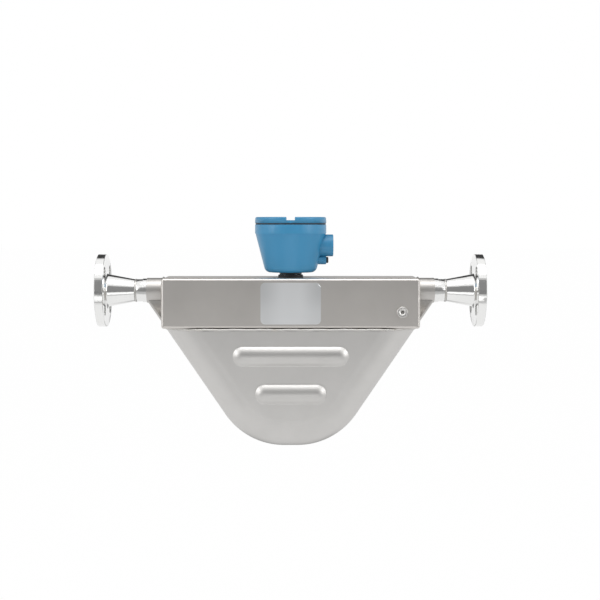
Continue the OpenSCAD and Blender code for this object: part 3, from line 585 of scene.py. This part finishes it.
def pick(thing: bpy.types.Object, kind: str, wanted: Callable[[Any], bool]) -> int:
    """Selects the points, edges or faces of a mesh that pass a test.

    Args:
        thing: the object, which is left in edit mode.
        kind: VERT, EDGE or FACE.
        wanted: the test, which is given a vertex, or an edge's or face's vertices.

    Returns:
        How many were selected.
    """
    if bpy.context.mode != "OBJECT":
        bpy.ops.object.mode_set(mode="OBJECT")
    mesh = thing.data
    for group in (mesh.vertices, mesh.edges, mesh.polygons):
        for item in group:
            item.select = False
    places = [vertex.co for vertex in mesh.vertices]
    count = 0
    group = {"VERT": mesh.vertices, "EDGE": mesh.edges, "FACE": mesh.polygons}[kind]
    for item in group:
        tested = item.co if kind == "VERT" else [places[i] for i in item.vertices]
        if wanted(tested):
            item.select = True
            count += 1
    bpy.ops.object.mode_set(mode="EDIT")
    bpy.ops.mesh.select_mode(type=kind)
    return count


def settle(thing: bpy.types.Object) -> None:
    """Bakes an object's own place, turn and scale into its mesh."""
    only(thing)
    bpy.ops.object.transform_apply(location=True, rotation=True, scale=True)


def on_whole_mesh(
    thing: bpy.types.Object, operator: Callable[..., Any], **settings: Any
) -> None:
    """Runs one edit operator on every point of a mesh."""
    only(thing)
    bpy.ops.object.mode_set(mode="EDIT")
    bpy.ops.mesh.select_all(action="SELECT")
    operator(**settings)
    bpy.ops.object.mode_set(mode="OBJECT")


def weld_points(thing: bpy.types.Object, distance: float = FINE) -> None:
    """Joins the points of a mesh that lie in one place."""
    on_whole_mesh(thing, bpy.ops.mesh.remove_doubles, threshold=distance)


def face_outwards(thing: bpy.types.Object) -> None:
    """Turns every face of a mesh outwards."""
    on_whole_mesh(thing, bpy.ops.mesh.normals_make_consistent, inside=False)


def add_modifier(thing: bpy.types.Object, kind: str, **settings: Any) -> None:
    """Adds one modifier and applies it."""
    only(thing)
    bpy.ops.object.modifier_add(type=kind)
    modifier = thing.modifiers[-1]
    for key, value in settings.items():
        setattr(modifier, key, value)
    bpy.ops.object.modifier_apply(modifier=modifier.name)


def shade(thing: bpy.types.Object, angle: float) -> None:
    """Shades smooth every edge that turns less than an angle in degrees."""
    only(thing)
    bpy.ops.object.shade_smooth_by_angle(angle=math.radians(angle))


def smooth(thing: bpy.types.Object, angle: float = 30.0) -> None:
    """Shades soft curves smooth, and keeps flat faces flat and corners crisp."""
    shade(thing, angle)
    add_modifier(thing, "WEIGHTED_NORMAL", mode="FACE_AREA", weight=50, keep_sharp=True)


@dataclass
class Assembly:
    """What all the sub-assemblies share: the loaded solids, and how a piece is handed over."""

    solids: dict[str, bpy.types.Object]
    made: list[str] = field(default_factory=list)

    def hand_over(
        self, piece: bpy.types.Object, name: str, body: str, slot: str, finish: Finish
    ) -> None:
        """Names, dresses and places one finished piece.

        Args:
            piece: the object.
            name: its name.
            body: the body that it moves with.
            slot: the record's material slot; not used.
            finish: its finish.
        """
        piece.name = name
        piece.data.materials.clear()
        piece.data.materials.append(finish.material())
        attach(piece, body)
        self.made.append(name)

    def dress(self, finish: Finish, *names: str) -> None:
        """Gives solids that stay as they are a finish."""
        for name in names:
            for slot in self.solids[name].material_slots:
                slot.material = finish.material()
            self.made.append(name)

    def refine(self, name: str, slot: str, finish: Finish, angle: float = 30.0) -> bpy.types.Object:
        """Puts a smoothly shaded copy of a solid in its place.

        Args:
            name: the solid's node.
            slot: the record's material slot.
            finish: the finish.
            angle: the sharpest edge that is shaded smooth, in degrees.

        Returns:
            The copy.
        """
        solid = self.solids[name]
        copy = bpy.data.objects.new(name + "_surface", solid.data.copy())
        bpy.context.scene.collection.objects.link(copy)
        weld_points(copy, 2e-6)
        smooth(copy, angle)
        self.hand_over(copy, name + "_surface", solid["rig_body"], slot, finish)
        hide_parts(name)
        return copy


@dataclass
class WeldBead:
    """A rippled weld bead along a path."""

    radius: float
    ripple: float = 0.12
    pitch: float = 1.5 * MM
    wander: float = 0.0
    wander_length: float = 41 * MM

    def along(self, points: Sequence[Point], closed: bool) -> bpy.types.Object:
        """A bead along a path.

        Args:
            points: the path's points.
            closed: whether it runs back to its start.

        Returns:
            The bead as a mesh.
        """
        spots = self.even(points, closed)
        curve = bpy.data.curves.new("bead", "CURVE")
        curve.dimensions = "3D"
        curve.bevel_depth = self.radius
        curve.bevel_resolution = 3
        curve.use_fill_caps = not closed
        line = curve.splines.new("POLY")
        line.points.add(len(spots) - 1)
        line.use_cyclic_u = closed
        for index, spot in enumerate(spots):
            line.points[index].co = (*spot, 1.0)
            line.points[index].radius = 1.0 + self.ripple * (0.5 if index % 3 == 0 else -0.25)
        thing = bpy.data.objects.new("bead", curve)
        bpy.context.scene.collection.objects.link(thing)
        only(thing)
        bpy.ops.object.convert(target="MESH")
        weld_points(thing)
        face_outwards(thing)
        shade(thing, CRISP)
        return thing

    def even(self, points: Sequence[Point], closed: bool) -> list[Vector]:
        """Points at an even third of the ripple's pitch along a path."""
        path = [Vector(point) for point in points]
        if closed:
            path.append(path[0])
        runs = [(end - start).length for start, end in zip(path, path[1:])]
        total = sum(runs)
        steps = max(12, round(total / (self.pitch / 3)))
        spots: list[Vector] = []
        index, before = 0, 0.0
        for step in range(steps + (0 if closed else 1)):
            wanted = total * step / steps
            while index < len(runs) - 1 and before + runs[index] < wanted:
                before += runs[index]
                index += 1
            share = (wanted - before) / runs[index] if runs[index] else 0.0
            spot = path[index].lerp(path[index + 1], min(1.0, max(0.0, share)))
            turns = 2 * math.pi * wanted / (total / round(total / self.wander_length))
            spot.z += self.wander * (math.sin(turns) + 0.5 * math.sin(3 * turns + 1.0))
            spots.append(spot)
        return spots

    def ring(self, x: float, ring_radius: float) -> bpy.types.Object:
        """A bead round the pipe axis.

        Args:
            x: its place along the pipe.
            ring_radius: the radius of its middle line.

        Returns:
            The bead as a mesh.
        """
        count = round(2 * math.pi * ring_radius / self.pitch) * 3
        only_none()
        bpy.ops.mesh.primitive_torus_add(
            major_radius=ring_radius,
            minor_radius=self.radius,
            major_segments=count,
            minor_segments=12,
            location=(x, 0, 0),
            rotation=(0, math.pi / 2, 0),
        )
        thing = bpy.context.active_object
        settle(thing)
        step = 2 * math.pi / count

        def on_crest(place: Vector) -> bool:
            """Every third section of the ring stands a little proud."""
            return round((math.atan2(place.y, place.z) % (2 * math.pi)) / step) % 3 == 0

        pick(thing, "VERT", on_crest)
        bpy.ops.transform.shrink_fatten(value=self.radius * self.ripple)
        shade(thing, CRISP)
        return thing


# ---------------------------------------------------------------- sub-assemblies


@dataclass
class ProcessLine(Assembly):
    """Flanges, manifolds and the ring welds at both ends."""

    length: float = 575 * MM
    hub_len: float = 55.6 * MM
    weld_width: float = 3.2 * MM
    pipe_radius: float = 16.7 * MM
    spigot_radius: float = 18.5 * MM
    housing_from: float = 98.5 * MM
    flange_weld_sunk: float = 1.2 * MM
    spigot_weld_back: float = 0.3 * MM
    spigot_weld_out: float = 0.1 * MM

    def build(self) -> None:
        """Dresses the turned pieces and lays the beads."""
        for end in ("inlet", "outlet"):
            self.refine(f"{end}_flange", "polished_steel", POLISHED)
            self.refine(f"{end}_manifold", "satin_steel", STEPPED, 35.0)
            self.dress(INNER, f"{end}_splitter")
        self.ring_pair(
            "flange_weld_bead",
            "flange_welds",
            WeldBead(1.7 * MM, 0.05),
            self.hub_len + self.weld_width / 2,
            self.pipe_radius - self.flange_weld_sunk,
        )
        self.ring_pair(
            "spigot_weld_bead",
            "spigot_welds",
            WeldBead(1.5 * MM, 0.14),
            self.housing_from - self.spigot_weld_back,
            self.spigot_radius + self.spigot_weld_out,
        )

    def ring_pair(self, name: str, node: str, bead: WeldBead, x: float, radius: float) -> None:
        """Lays one bead at the inlet end and its match at the outlet end.

        Args:
            name: the pieces' common name.
            node: the solid that they stand for.
            bead: the bead's size.
            x: its place from the inlet face.
            radius: the radius of its middle line.
        """
        for end, place in (("inlet", x), ("outlet", self.length - x)):
            ring = bead.ring(place, radius)
            self.hand_over(ring, f"{end}_{name}", "root", "weld_bead", WELD)
            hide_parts(node)


@dataclass
class Pod(Assembly):
    """The V-shaped pod: two stamped halves, and the beads that weld them."""

    middle: float = 287.5 * MM
    half_depth: float = 50 * MM
    top: float = -57.4 * MM
    housing_drop: float = 54 * MM
    slope: float = 56.0
    corner_radius: float = 105 * MM
    top_reach: float = 187 * MM
    corner_z: float = -128.5 * MM
    edge_radius: float = 45 * MM
    edge_flat: float = 5 * MM
    leg: float = 186 * MM
    lean: float = 1.8
    wall: float = 2.4 * MM
    seam: float = 3.0 * MM
    bead_rise: float = 6 * MM
    bead_half_width: float = 15.8 * MM
    bead_foot_radius: float = 4 * MM
    bead_rows: tuple[tuple[float, float], ...] = ((172 * MM, 94.3 * MM), (107 * MM, 150.1 * MM))
    round_steps: int = 20
    corner_steps: int = 28
    crown_steps: int = 9
    foot_steps: int = 5
    end_steps: int = 16
    shading_angle: float = 40.0
    seam_overlap: float = 8 * MM

    @property
    def corner_x(self) -> float:
        """Half the distance between the centres of the two bottom corners."""
        angle = math.radians(self.slope)
        rise = (self.corner_z + self.housing_drop) * math.cos(angle)
        return self.top_reach - (self.corner_radius - rise) / math.sin(angle)

    @property
    def face_radius(self) -> float:
        """The radius of the face's inner outline at a bottom corner."""
        return self.corner_radius - self.edge_radius

    def build(self) -> None:
        """Models the front half, mirrors it for the back, and lays the beads."""
        front = self.half()
        back = self.turned(front)
        for piece, name in ((front, "pod_front"), (back, "pod_back")):
            self.hand_over(piece, name + "_shell", "root", "pod_steel", POD)
            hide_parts(name)
        seam = WeldBead(1.9 * MM, 0.10).along(self.seam_path(), False)
        self.hand_over(seam, "pod_seam_bead", "root", "weld_bead", WELD)
        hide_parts("pod_seam_weld")
        collar = WeldBead(1.8 * MM, 0.12, 2.2 * MM, 0.25 * MM).along(self.collar_path(), True)
        self.hand_over(collar, "housing_bead", "root", "weld_bead", WELD)
        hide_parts("housing_weld")

    def half(self) -> bpy.types.Object:
        """The front half as a shell with its two beads."""
        skin = self.swept_edge()
        rows = [self.bead_patch(length, drop) for length, drop in self.bead_rows]
        only(skin)
        for row in rows:
            row.select_set(True)
        bpy.ops.object.join()
        self.close_face(skin)
        weld_points(skin, 2e-5)
        self.lean_in(skin)
        self.trim(skin)
        face_outwards(skin)
        add_modifier(skin, "SOLIDIFY", thickness=self.wall, offset=-1.0)
        on_whole_mesh(skin, bpy.ops.transform.translate, value=(self.middle, 0, 0))
        smooth(skin, self.shading_angle)
        return skin

    def swept_edge(self) -> bpy.types.Object:
        """The rolled long edge: its section run along the bottom, round a corner and up a leg."""
        angle = math.radians(self.slope)
        low = self.corner_z - self.face_radius
        only_none()
        bpy.ops.mesh.primitive_circle_add(
            vertices=4 * self.round_steps,
            radius=self.edge_radius,
            location=(0, -self.edge_flat, low),
            rotation=(0, math.pi / 2, 0),
        )
        skin = bpy.context.active_object
        settle(skin)
        pick(
            skin,
            "VERT",
            lambda place: place.y > -self.edge_flat + TOUCH or place.z > low + TOUCH,
        )
        bpy.ops.mesh.delete(type="VERT")
        pick(skin, "VERT", lambda place: place.y > -self.edge_flat - TOUCH)
        bpy.ops.mesh.extrude_region_move(
            TRANSFORM_OT_translate={"value": (0, self.edge_flat + self.seam_overlap, 0)}
        )
        bpy.ops.mesh.select_all(action="SELECT")
        bpy.ops.mesh.extrude_region_move(TRANSFORM_OT_translate={"value": (self.corner_x, 0, 0)})
        bpy.ops.mesh.spin(
            steps=self.corner_steps,
            angle=angle,
            center=(self.corner_x, 0, self.corner_z),
            axis=(0, 1, 0),
        )
        bpy.ops.mesh.extrude_region_move(
            TRANSFORM_OT_translate={
                "value": (self.leg * math.cos(angle), 0, self.leg * math.sin(angle))
            }
        )
        bpy.ops.object.mode_set(mode="OBJECT")
        add_modifier(skin, "MIRROR", use_axis=(True, False, False), merge_threshold=2e-5)
        return skin

    def bead_patch(self, length: float, drop: float) -> bpy.types.Object:
        """One stiffening bead with its filleted foot, on the face before it leans.

        Args:
            length: the bead's whole length.
            drop: how far its centre lies below the pipe axis.

        Returns:
            The patch.
        """
        half = length / 2 - self.bead_half_width
        turn = 2 * math.atan(self.bead_rise / self.bead_half_width)
        both = self.bead_rise / (1 - math.cos(turn))
        crown = both - self.bead_foot_radius
        depth = -self.half_depth - self.bead_rise
        speck = 1 * MM
        only_none()
        bpy.ops.mesh.primitive_plane_add(size=speck, location=(half, depth, 0))
        patch = bpy.context.active_object
        settle(patch)
        pick(patch, "VERT", lambda place: place.x < half or place.y < depth)
        bpy.ops.mesh.delete(type="VERT")
        pick(patch, "VERT", lambda place: True)
        bpy.ops.transform.translate(value=(-speck / 2, -speck / 2, 0))
        profile: list[tuple[float, float]] = []
        for i in range(1, self.crown_steps + 1):
            swung = turn * i / self.crown_steps
            profile.append((crown * math.sin(swung), crown * (1 - math.cos(swung))))
        for i in range(1, self.foot_steps + 1):
            left = turn * (1 - i / self.foot_steps)
            profile.append(
                (
                    self.bead_half_width - self.bead_foot_radius * math.sin(left),
                    self.bead_rise - self.bead_foot_radius * (1 - math.cos(left)),
                )
            )
        reached = (0.0, 0.0)
        for out, back in profile:
            bpy.ops.mesh.extrude_region_move(
                TRANSFORM_OT_translate={"value": (0, back - reached[1], out - reached[0])}
            )
            reached = (out, back)
        bpy.ops.mesh.select_all(action="SELECT")
        bpy.ops.mesh.spin(
            steps=self.end_steps, angle=math.pi / 2, center=(half, 0, 0), axis=(0, -1, 0)
        )
        pick(patch, "EDGE", lambda ends: all(abs(place.x - half) < FINE for place in ends))
        bpy.ops.mesh.extrude_region_move(TRANSFORM_OT_translate={"value": (-half, 0, 0)})
        weld_points(patch)
        add_modifier(patch, "MIRROR", use_axis=(True, False, True), merge_threshold=TOUCH)
        on_whole_mesh(patch, bpy.ops.transform.translate, value=(0, 0, -drop))
        return patch

    def close_face(self, skin: bpy.types.Object) -> None:
        """Fills the flat face between the rolled edge and the two beads."""
        mesh = skin.data

        def level(place: Vector) -> bool:
            """Whether a place lies in the plane of the face."""
            return abs(place.y + self.half_depth) < TOUCH

        pick(skin, "EDGE", lambda ends: all(level(place) for place in ends))
        bpy.ops.object.mode_set(mode="OBJECT")
        uses = Counter(key for polygon in mesh.polygons for key in polygon.edge_keys)
        border = [edge.index for edge in mesh.edges if edge.select and uses[edge.key] == 1]
        tops = [vertex.index for vertex in mesh.vertices if level(vertex.co)]
        high = sorted(tops, key=lambda i: mesh.vertices[i].co.z)[-2:]
        for edge in mesh.edges:
            edge.select = False
        for vertex in mesh.vertices:
            vertex.select = vertex.index in high
        bpy.ops.object.mode_set(mode="EDIT")
        bpy.ops.mesh.select_mode(type="VERT")
        bpy.ops.mesh.edge_face_add()
        bpy.ops.object.mode_set(mode="OBJECT")
        new_edge = len(mesh.edges) - 1
        for index in [*border, new_edge]:
            mesh.edges[index].select = True
            for i in mesh.edges[index].vertices:
                mesh.vertices[i].select = True
        bpy.ops.object.mode_set(mode="EDIT")
        bpy.ops.mesh.select_mode(type="EDGE")
        bpy.ops.mesh.fill(use_beauty=True)
        bpy.ops.object.mode_set(mode="OBJECT")

    def lean_in(self, skin: bpy.types.Object) -> None:
        """Turns a half about the line where its face meets the housing."""
        on_whole_mesh(
            skin,
            bpy.ops.transform.rotate,
            value=-math.radians(self.lean),
            orient_axis="X",
            center_override=(0, -self.half_depth, self.top),
        )

    def trim(self, skin: bpy.types.Object) -> None:
        """Cuts a half off at the seam and under the housing's weld."""
        only(skin)
        bpy.ops.object.mode_set(mode="EDIT")
        for place, normal in (((0, -self.seam / 2, 0), (0, 1, 0)), ((0, 0, self.top), (0, 0, 1))):
            bpy.ops.mesh.select_all(action="SELECT")
            bpy.ops.mesh.bisect(plane_co=place, plane_no=normal, clear_outer=True)
        bpy.ops.object.mode_set(mode="OBJECT")

    def turned(self, front: bpy.types.Object) -> bpy.types.Object:
        """The back half: a mirrored copy of the front one."""
        back = bpy.data.objects.new("pod_back_shell", front.data.copy())
        bpy.context.scene.collection.objects.link(back)
        back.scale = (1, -1, 1)
        settle(back)
        face_outwards(back)
        smooth(back, self.shading_angle)
        return back

    def seam_path(self) -> list[Point]:
        """The V's outline in the plane of the pipe, where the halves meet."""
        angle = math.radians(self.slope)
        lift = self.half_depth * math.sin(math.radians(self.lean))
        radius = self.corner_radius - 1.2 * MM
        steps = 24
        foot = [
            (
                self.corner_x + radius * math.sin(angle * i / steps),
                self.corner_z - radius * math.cos(angle * i / steps),
            )
            for i in range(steps + 1)
        ]
        run = (self.top - foot[-1][1] - 0.5 * MM) / math.sin(angle)
        foot.append((foot[-1][0] + run * math.cos(angle), foot[-1][1] + run * math.sin(angle)))
        lowest = foot[0][1]

        def raised(z: float) -> float:
            """A height after the halves lean in, which lifts the bottom most."""
            return z + lift * (self.top - z) / (self.top - lowest)

        right = [(self.middle + x, 0.0, raised(z)) for x, z in foot]
        left = [(self.middle - x, 0.0, raised(z)) for x, z in reversed(foot)]
        return left + right

    def collar_path(self) -> list[Point]:
        """The pod's outline just under the housing."""
        z = self.top + 1.6 * MM
        angle = math.radians(self.slope)
        reach = self.top_reach + (z + self.housing_drop) / math.tan(angle)
        radius = self.edge_radius
        corner: list[tuple[float, float]] = [(reach, 0.0), (reach, self.edge_flat)]
        steps = 18
        for i in range(1, steps + 1):
            turn = math.pi / 2 * i / steps
            corner.append(
                (
                    reach - radius * (1 - math.cos(turn)) / math.sin(angle),
                    self.edge_flat + radius * math.sin(turn),
                )
            )
        inset = 0.6 * MM
        corner = [(x - inset, max(0.0, y - inset)) for x, y in corner]
        front = [(self.middle + x, -y, z) for x, y in corner]
        front += [(self.middle - x, -y, z) for x, y in reversed(corner)]
        back = [(self.middle - x, y, z) for x, y in corner]
        back += [(self.middle + x, y, z) for x, y in reversed(corner)]
        joined: list[Point] = []
        for point in front + back:
            if not joined or (Vector(point) - Vector(joined[-1])).length > TOUCH:
                joined.append(point)
        return joined[:-1]


@dataclass
class Housing(Assembly):
    """The upper housing with its label, purge plug and hidden fittings."""

    def build(self) -> None:
        """Dresses the housing and what is on it."""
        self.refine("upper_housing", "housing_steel", HOUSING)
        self.refine("label_plate", "label_silver", LABEL)
        self.refine("purge_plug", "polished_steel", PLUG)
        self.dress(INNER, "purge_boss")
        self.dress(NICKEL, "feedthrough")


@dataclass
class Sensing(Assembly):
    """What vibrates inside: flow tubes, braces, driver, pickoffs and leads."""

    def build(self) -> None:
        """Gives each hidden solid its finish."""
        self.dress(DRAWN, "flow_tube_front", "flow_tube_back")
        self.dress(INNER, "inlet_brace_plates", "outlet_brace_plates")
        for place in ("drive", "inlet_pickoff", "outlet_pickoff"):
            self.dress(NICKEL, f"{place}_magnet")
            self.dress(INNER, f"{place}_magnet_bracket", f"{place}_coil_bracket")
            self.dress(BLACK, f"{place}_bobbin")
            self.dress(COPPER, f"{place}_coil")
        self.dress(RESIN, "temperature_sensor")
        self.dress(INSULATION, "coil_leads", "sensor_leads")


@dataclass
class Head(Assembly):
    """The neck, the junction housing, its terminals and its lid."""

    def build(self) -> None:
        """Dresses the neck, the head and the lid."""
        self.refine("base_ring", "black_rubber", RUBBER)
        self.refine("neck_tube", "polished_steel", BRIGHT)
        self.refine("neck_collar", "black_plastic", BLACK)
        self.refine("junction_housing", "blue_paint", BLUE, 35.0)
        self.refine("conduit_boss", "blue_paint", BLUE, 35.0)
        self.refine("lid_seal", "black_rubber", RUBBER)
        self.refine("lid", "blue_paint", BLUE, 35.0)
        self.refine("ground_screw", "black_screw", BLACK_STEEL)
        self.dress(BRIGHT, "neck_nut")
        self.dress(BOARD, "terminal_board")
        self.dress(NICKEL, "board_screws", "terminal_screws")
        self.dress(BLACK, "terminal_strips")


# ---------------------------------------------------------------- studio


@dataclass(frozen=True)
class Softbox:
    """One soft lamp of the studio."""

    title: str
    place: Point
    target: Point
    width: float
    height: float
    power: float

    def build(self) -> None:
        """Adds the lamp, turned to what it lights."""
        only_none()
        bpy.ops.object.light_add(type="AREA", location=self.place)
        lamp = bpy.context.active_object
        lamp.name = self.title
        lamp.data.shape = "RECTANGLE"
        lamp.data.size = self.width
        lamp.data.size_y = self.height
        lamp.data.energy = self.power
        aim = Vector(self.target) - Vector(self.place)
        lamp.rotation_euler = aim.to_track_quat("-Z", "Y").to_euler()


@dataclass
class Studio:
    """Floor, backdrop, lamps and camera."""

    centre: Point = (0.2875, 0.0, -0.06)
    floor_height: float = -0.5
    camera_place: Point = (0.2875, -2.0, 0.100)
    camera_target: Point = (0.3014, 0.0, -0.0146)
    lens: float = 80.5
    sensor_width: float = 36.0
    floor_width: float = 60.0
    floor_colour: Colour = (0.86, 0.86, 0.86)
    backdrop_share: float = 0.985
    fill_level: float = 0.78

    def build(self) -> None:
        """Sets the whole studio up."""
        self.make_camera()
        self.make_floor()
        self.make_world()
        for lamp in (
            Softbox("top softbox", (0.29, -0.5, 1.5), self.centre, 1.4, 0.9, 9.0),
            Softbox("left softbox", (-1.3, -0.9, 0.5), self.centre, 0.8, 1.2, 7.0),
            Softbox("right softbox", (1.9, -0.9, 0.5), self.centre, 0.8, 1.2, 7.0),
            Softbox("low softbox", (0.29, -0.9, -0.40), (0.2875, 0.0, -0.20), 0.9, 0.30, 0.70),
        ):
            lamp.build()
        scene = bpy.context.scene
        scene.view_settings.view_transform = "Standard"

    def make_camera(self) -> None:
        """Adds the camera at the main viewing angle."""
        only_none()
        bpy.ops.object.camera_add(location=self.camera_place)
        camera = bpy.context.active_object
        camera.name = "main camera"
        aim = Vector(self.camera_target) - Vector(self.camera_place)
        camera.rotation_euler = aim.to_track_quat("-Z", "Y").to_euler()
        camera.data.lens = self.lens
        camera.data.sensor_width = self.sensor_width
        bpy.context.scene.camera = camera

    def make_floor(self) -> None:
        """Adds a wide pale floor that keeps a faint shadow."""
        only_none()
        bpy.ops.mesh.primitive_plane_add(
            size=self.floor_width, location=(self.centre[0], 0, self.floor_height)
        )
        floor = bpy.context.active_object
        floor.name = "floor"
        made = bpy.data.materials.new("pale floor")
        made.use_nodes = True
        graph = Graph(made.node_tree)
        x, y, _ = graph.axes(graph.place())
        far_front = y.rise(-2.6, -3.0) * 0.30
        front = y.rise(-0.55, -0.75) * 0.40
        behind = y.rise(0.12, 0.40) * graph.math("ABSOLUTE", x).rise(0.26, 0.18) * 0.62
        gloss = 0.92 - far_front - front - behind
        rays = graph.node("ShaderNodeLightPath")
        camera = Signal(graph, rays.outputs["Is Camera Ray"])
        glossy = Signal(graph, rays.outputs["Is Glossy Ray"])
        passed = Signal(graph, rays.outputs["Is Transmission Ray"])
        plain = graph.node("ShaderNodeBsdfDiffuse", None, {"Color": (*self.floor_colour, 1.0)})
        light = graph.node(
            "ShaderNodeEmission",
            None,
            {"Color": (1.0, 1.0, 1.0, 1.0), "Strength": camera * (1.0 - gloss) + gloss},
        )
        share = graph.math("MINIMUM", camera * self.backdrop_share + glossy + passed, 1.0)
        mix = graph.node(
            "ShaderNodeMixShader",
            None,
            {0: share, 1: Signal(graph, plain.outputs[0]), 2: Signal(graph, light.outputs[0])},
        )
        graph.node("ShaderNodeOutputMaterial", None, {0: Signal(graph, mix.outputs[0])})
        floor.data.materials.append(made)

    def make_world(self) -> None:
        """A white backdrop; gloss also sees the dim room behind and above it."""
        world = bpy.data.worlds.new("studio")
        world.use_nodes = True
        bpy.context.scene.world = world
        graph = Graph(world.node_tree)
        direction = Signal(graph, graph.node("ShaderNodeTexCoord").outputs["Generated"])
        _, y, z = graph.axes(direction)
        room = (y * -1.0).rise(0.72, 0.82) * 0.74
        flag = y.rise(0.15, 0.45) * z.rise(0.20, 0.34) * z.rise(0.88, 0.78) * 0.95
        gloss = 1.0 - graph.math("MAXIMUM", room, flag)
        rays = graph.node("ShaderNodeLightPath")
        camera = Signal(graph, rays.outputs["Is Camera Ray"])
        glossy = Signal(graph, rays.outputs["Is Glossy Ray"])
        level = glossy * (gloss - self.fill_level) + self.fill_level
        level = camera * (1.0 - level) + level
        background = graph.node(
            "ShaderNodeBackground", None, {"Color": (1.0, 1.0, 1.0, 1.0), "Strength": level}
        )
        graph.node("ShaderNodeOutputWorld", None, {0: Signal(graph, background.outputs[0])})


def main() -> None:
    """Builds the studio and every sub-assembly in order."""
    logging.basicConfig(level=logging.INFO, format="%(name)s: %(message)s")
    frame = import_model()
    Studio().build()
    for kind in (ProcessLine, Housing, Pod, Sensing, Head):
        assembly = kind(solids=frame["nodes"])
        assembly.build()
        for name in assembly.made:
            LOG.info("%s: %s", kind.__name__, name)


if __name__ == "__main__":
    main()
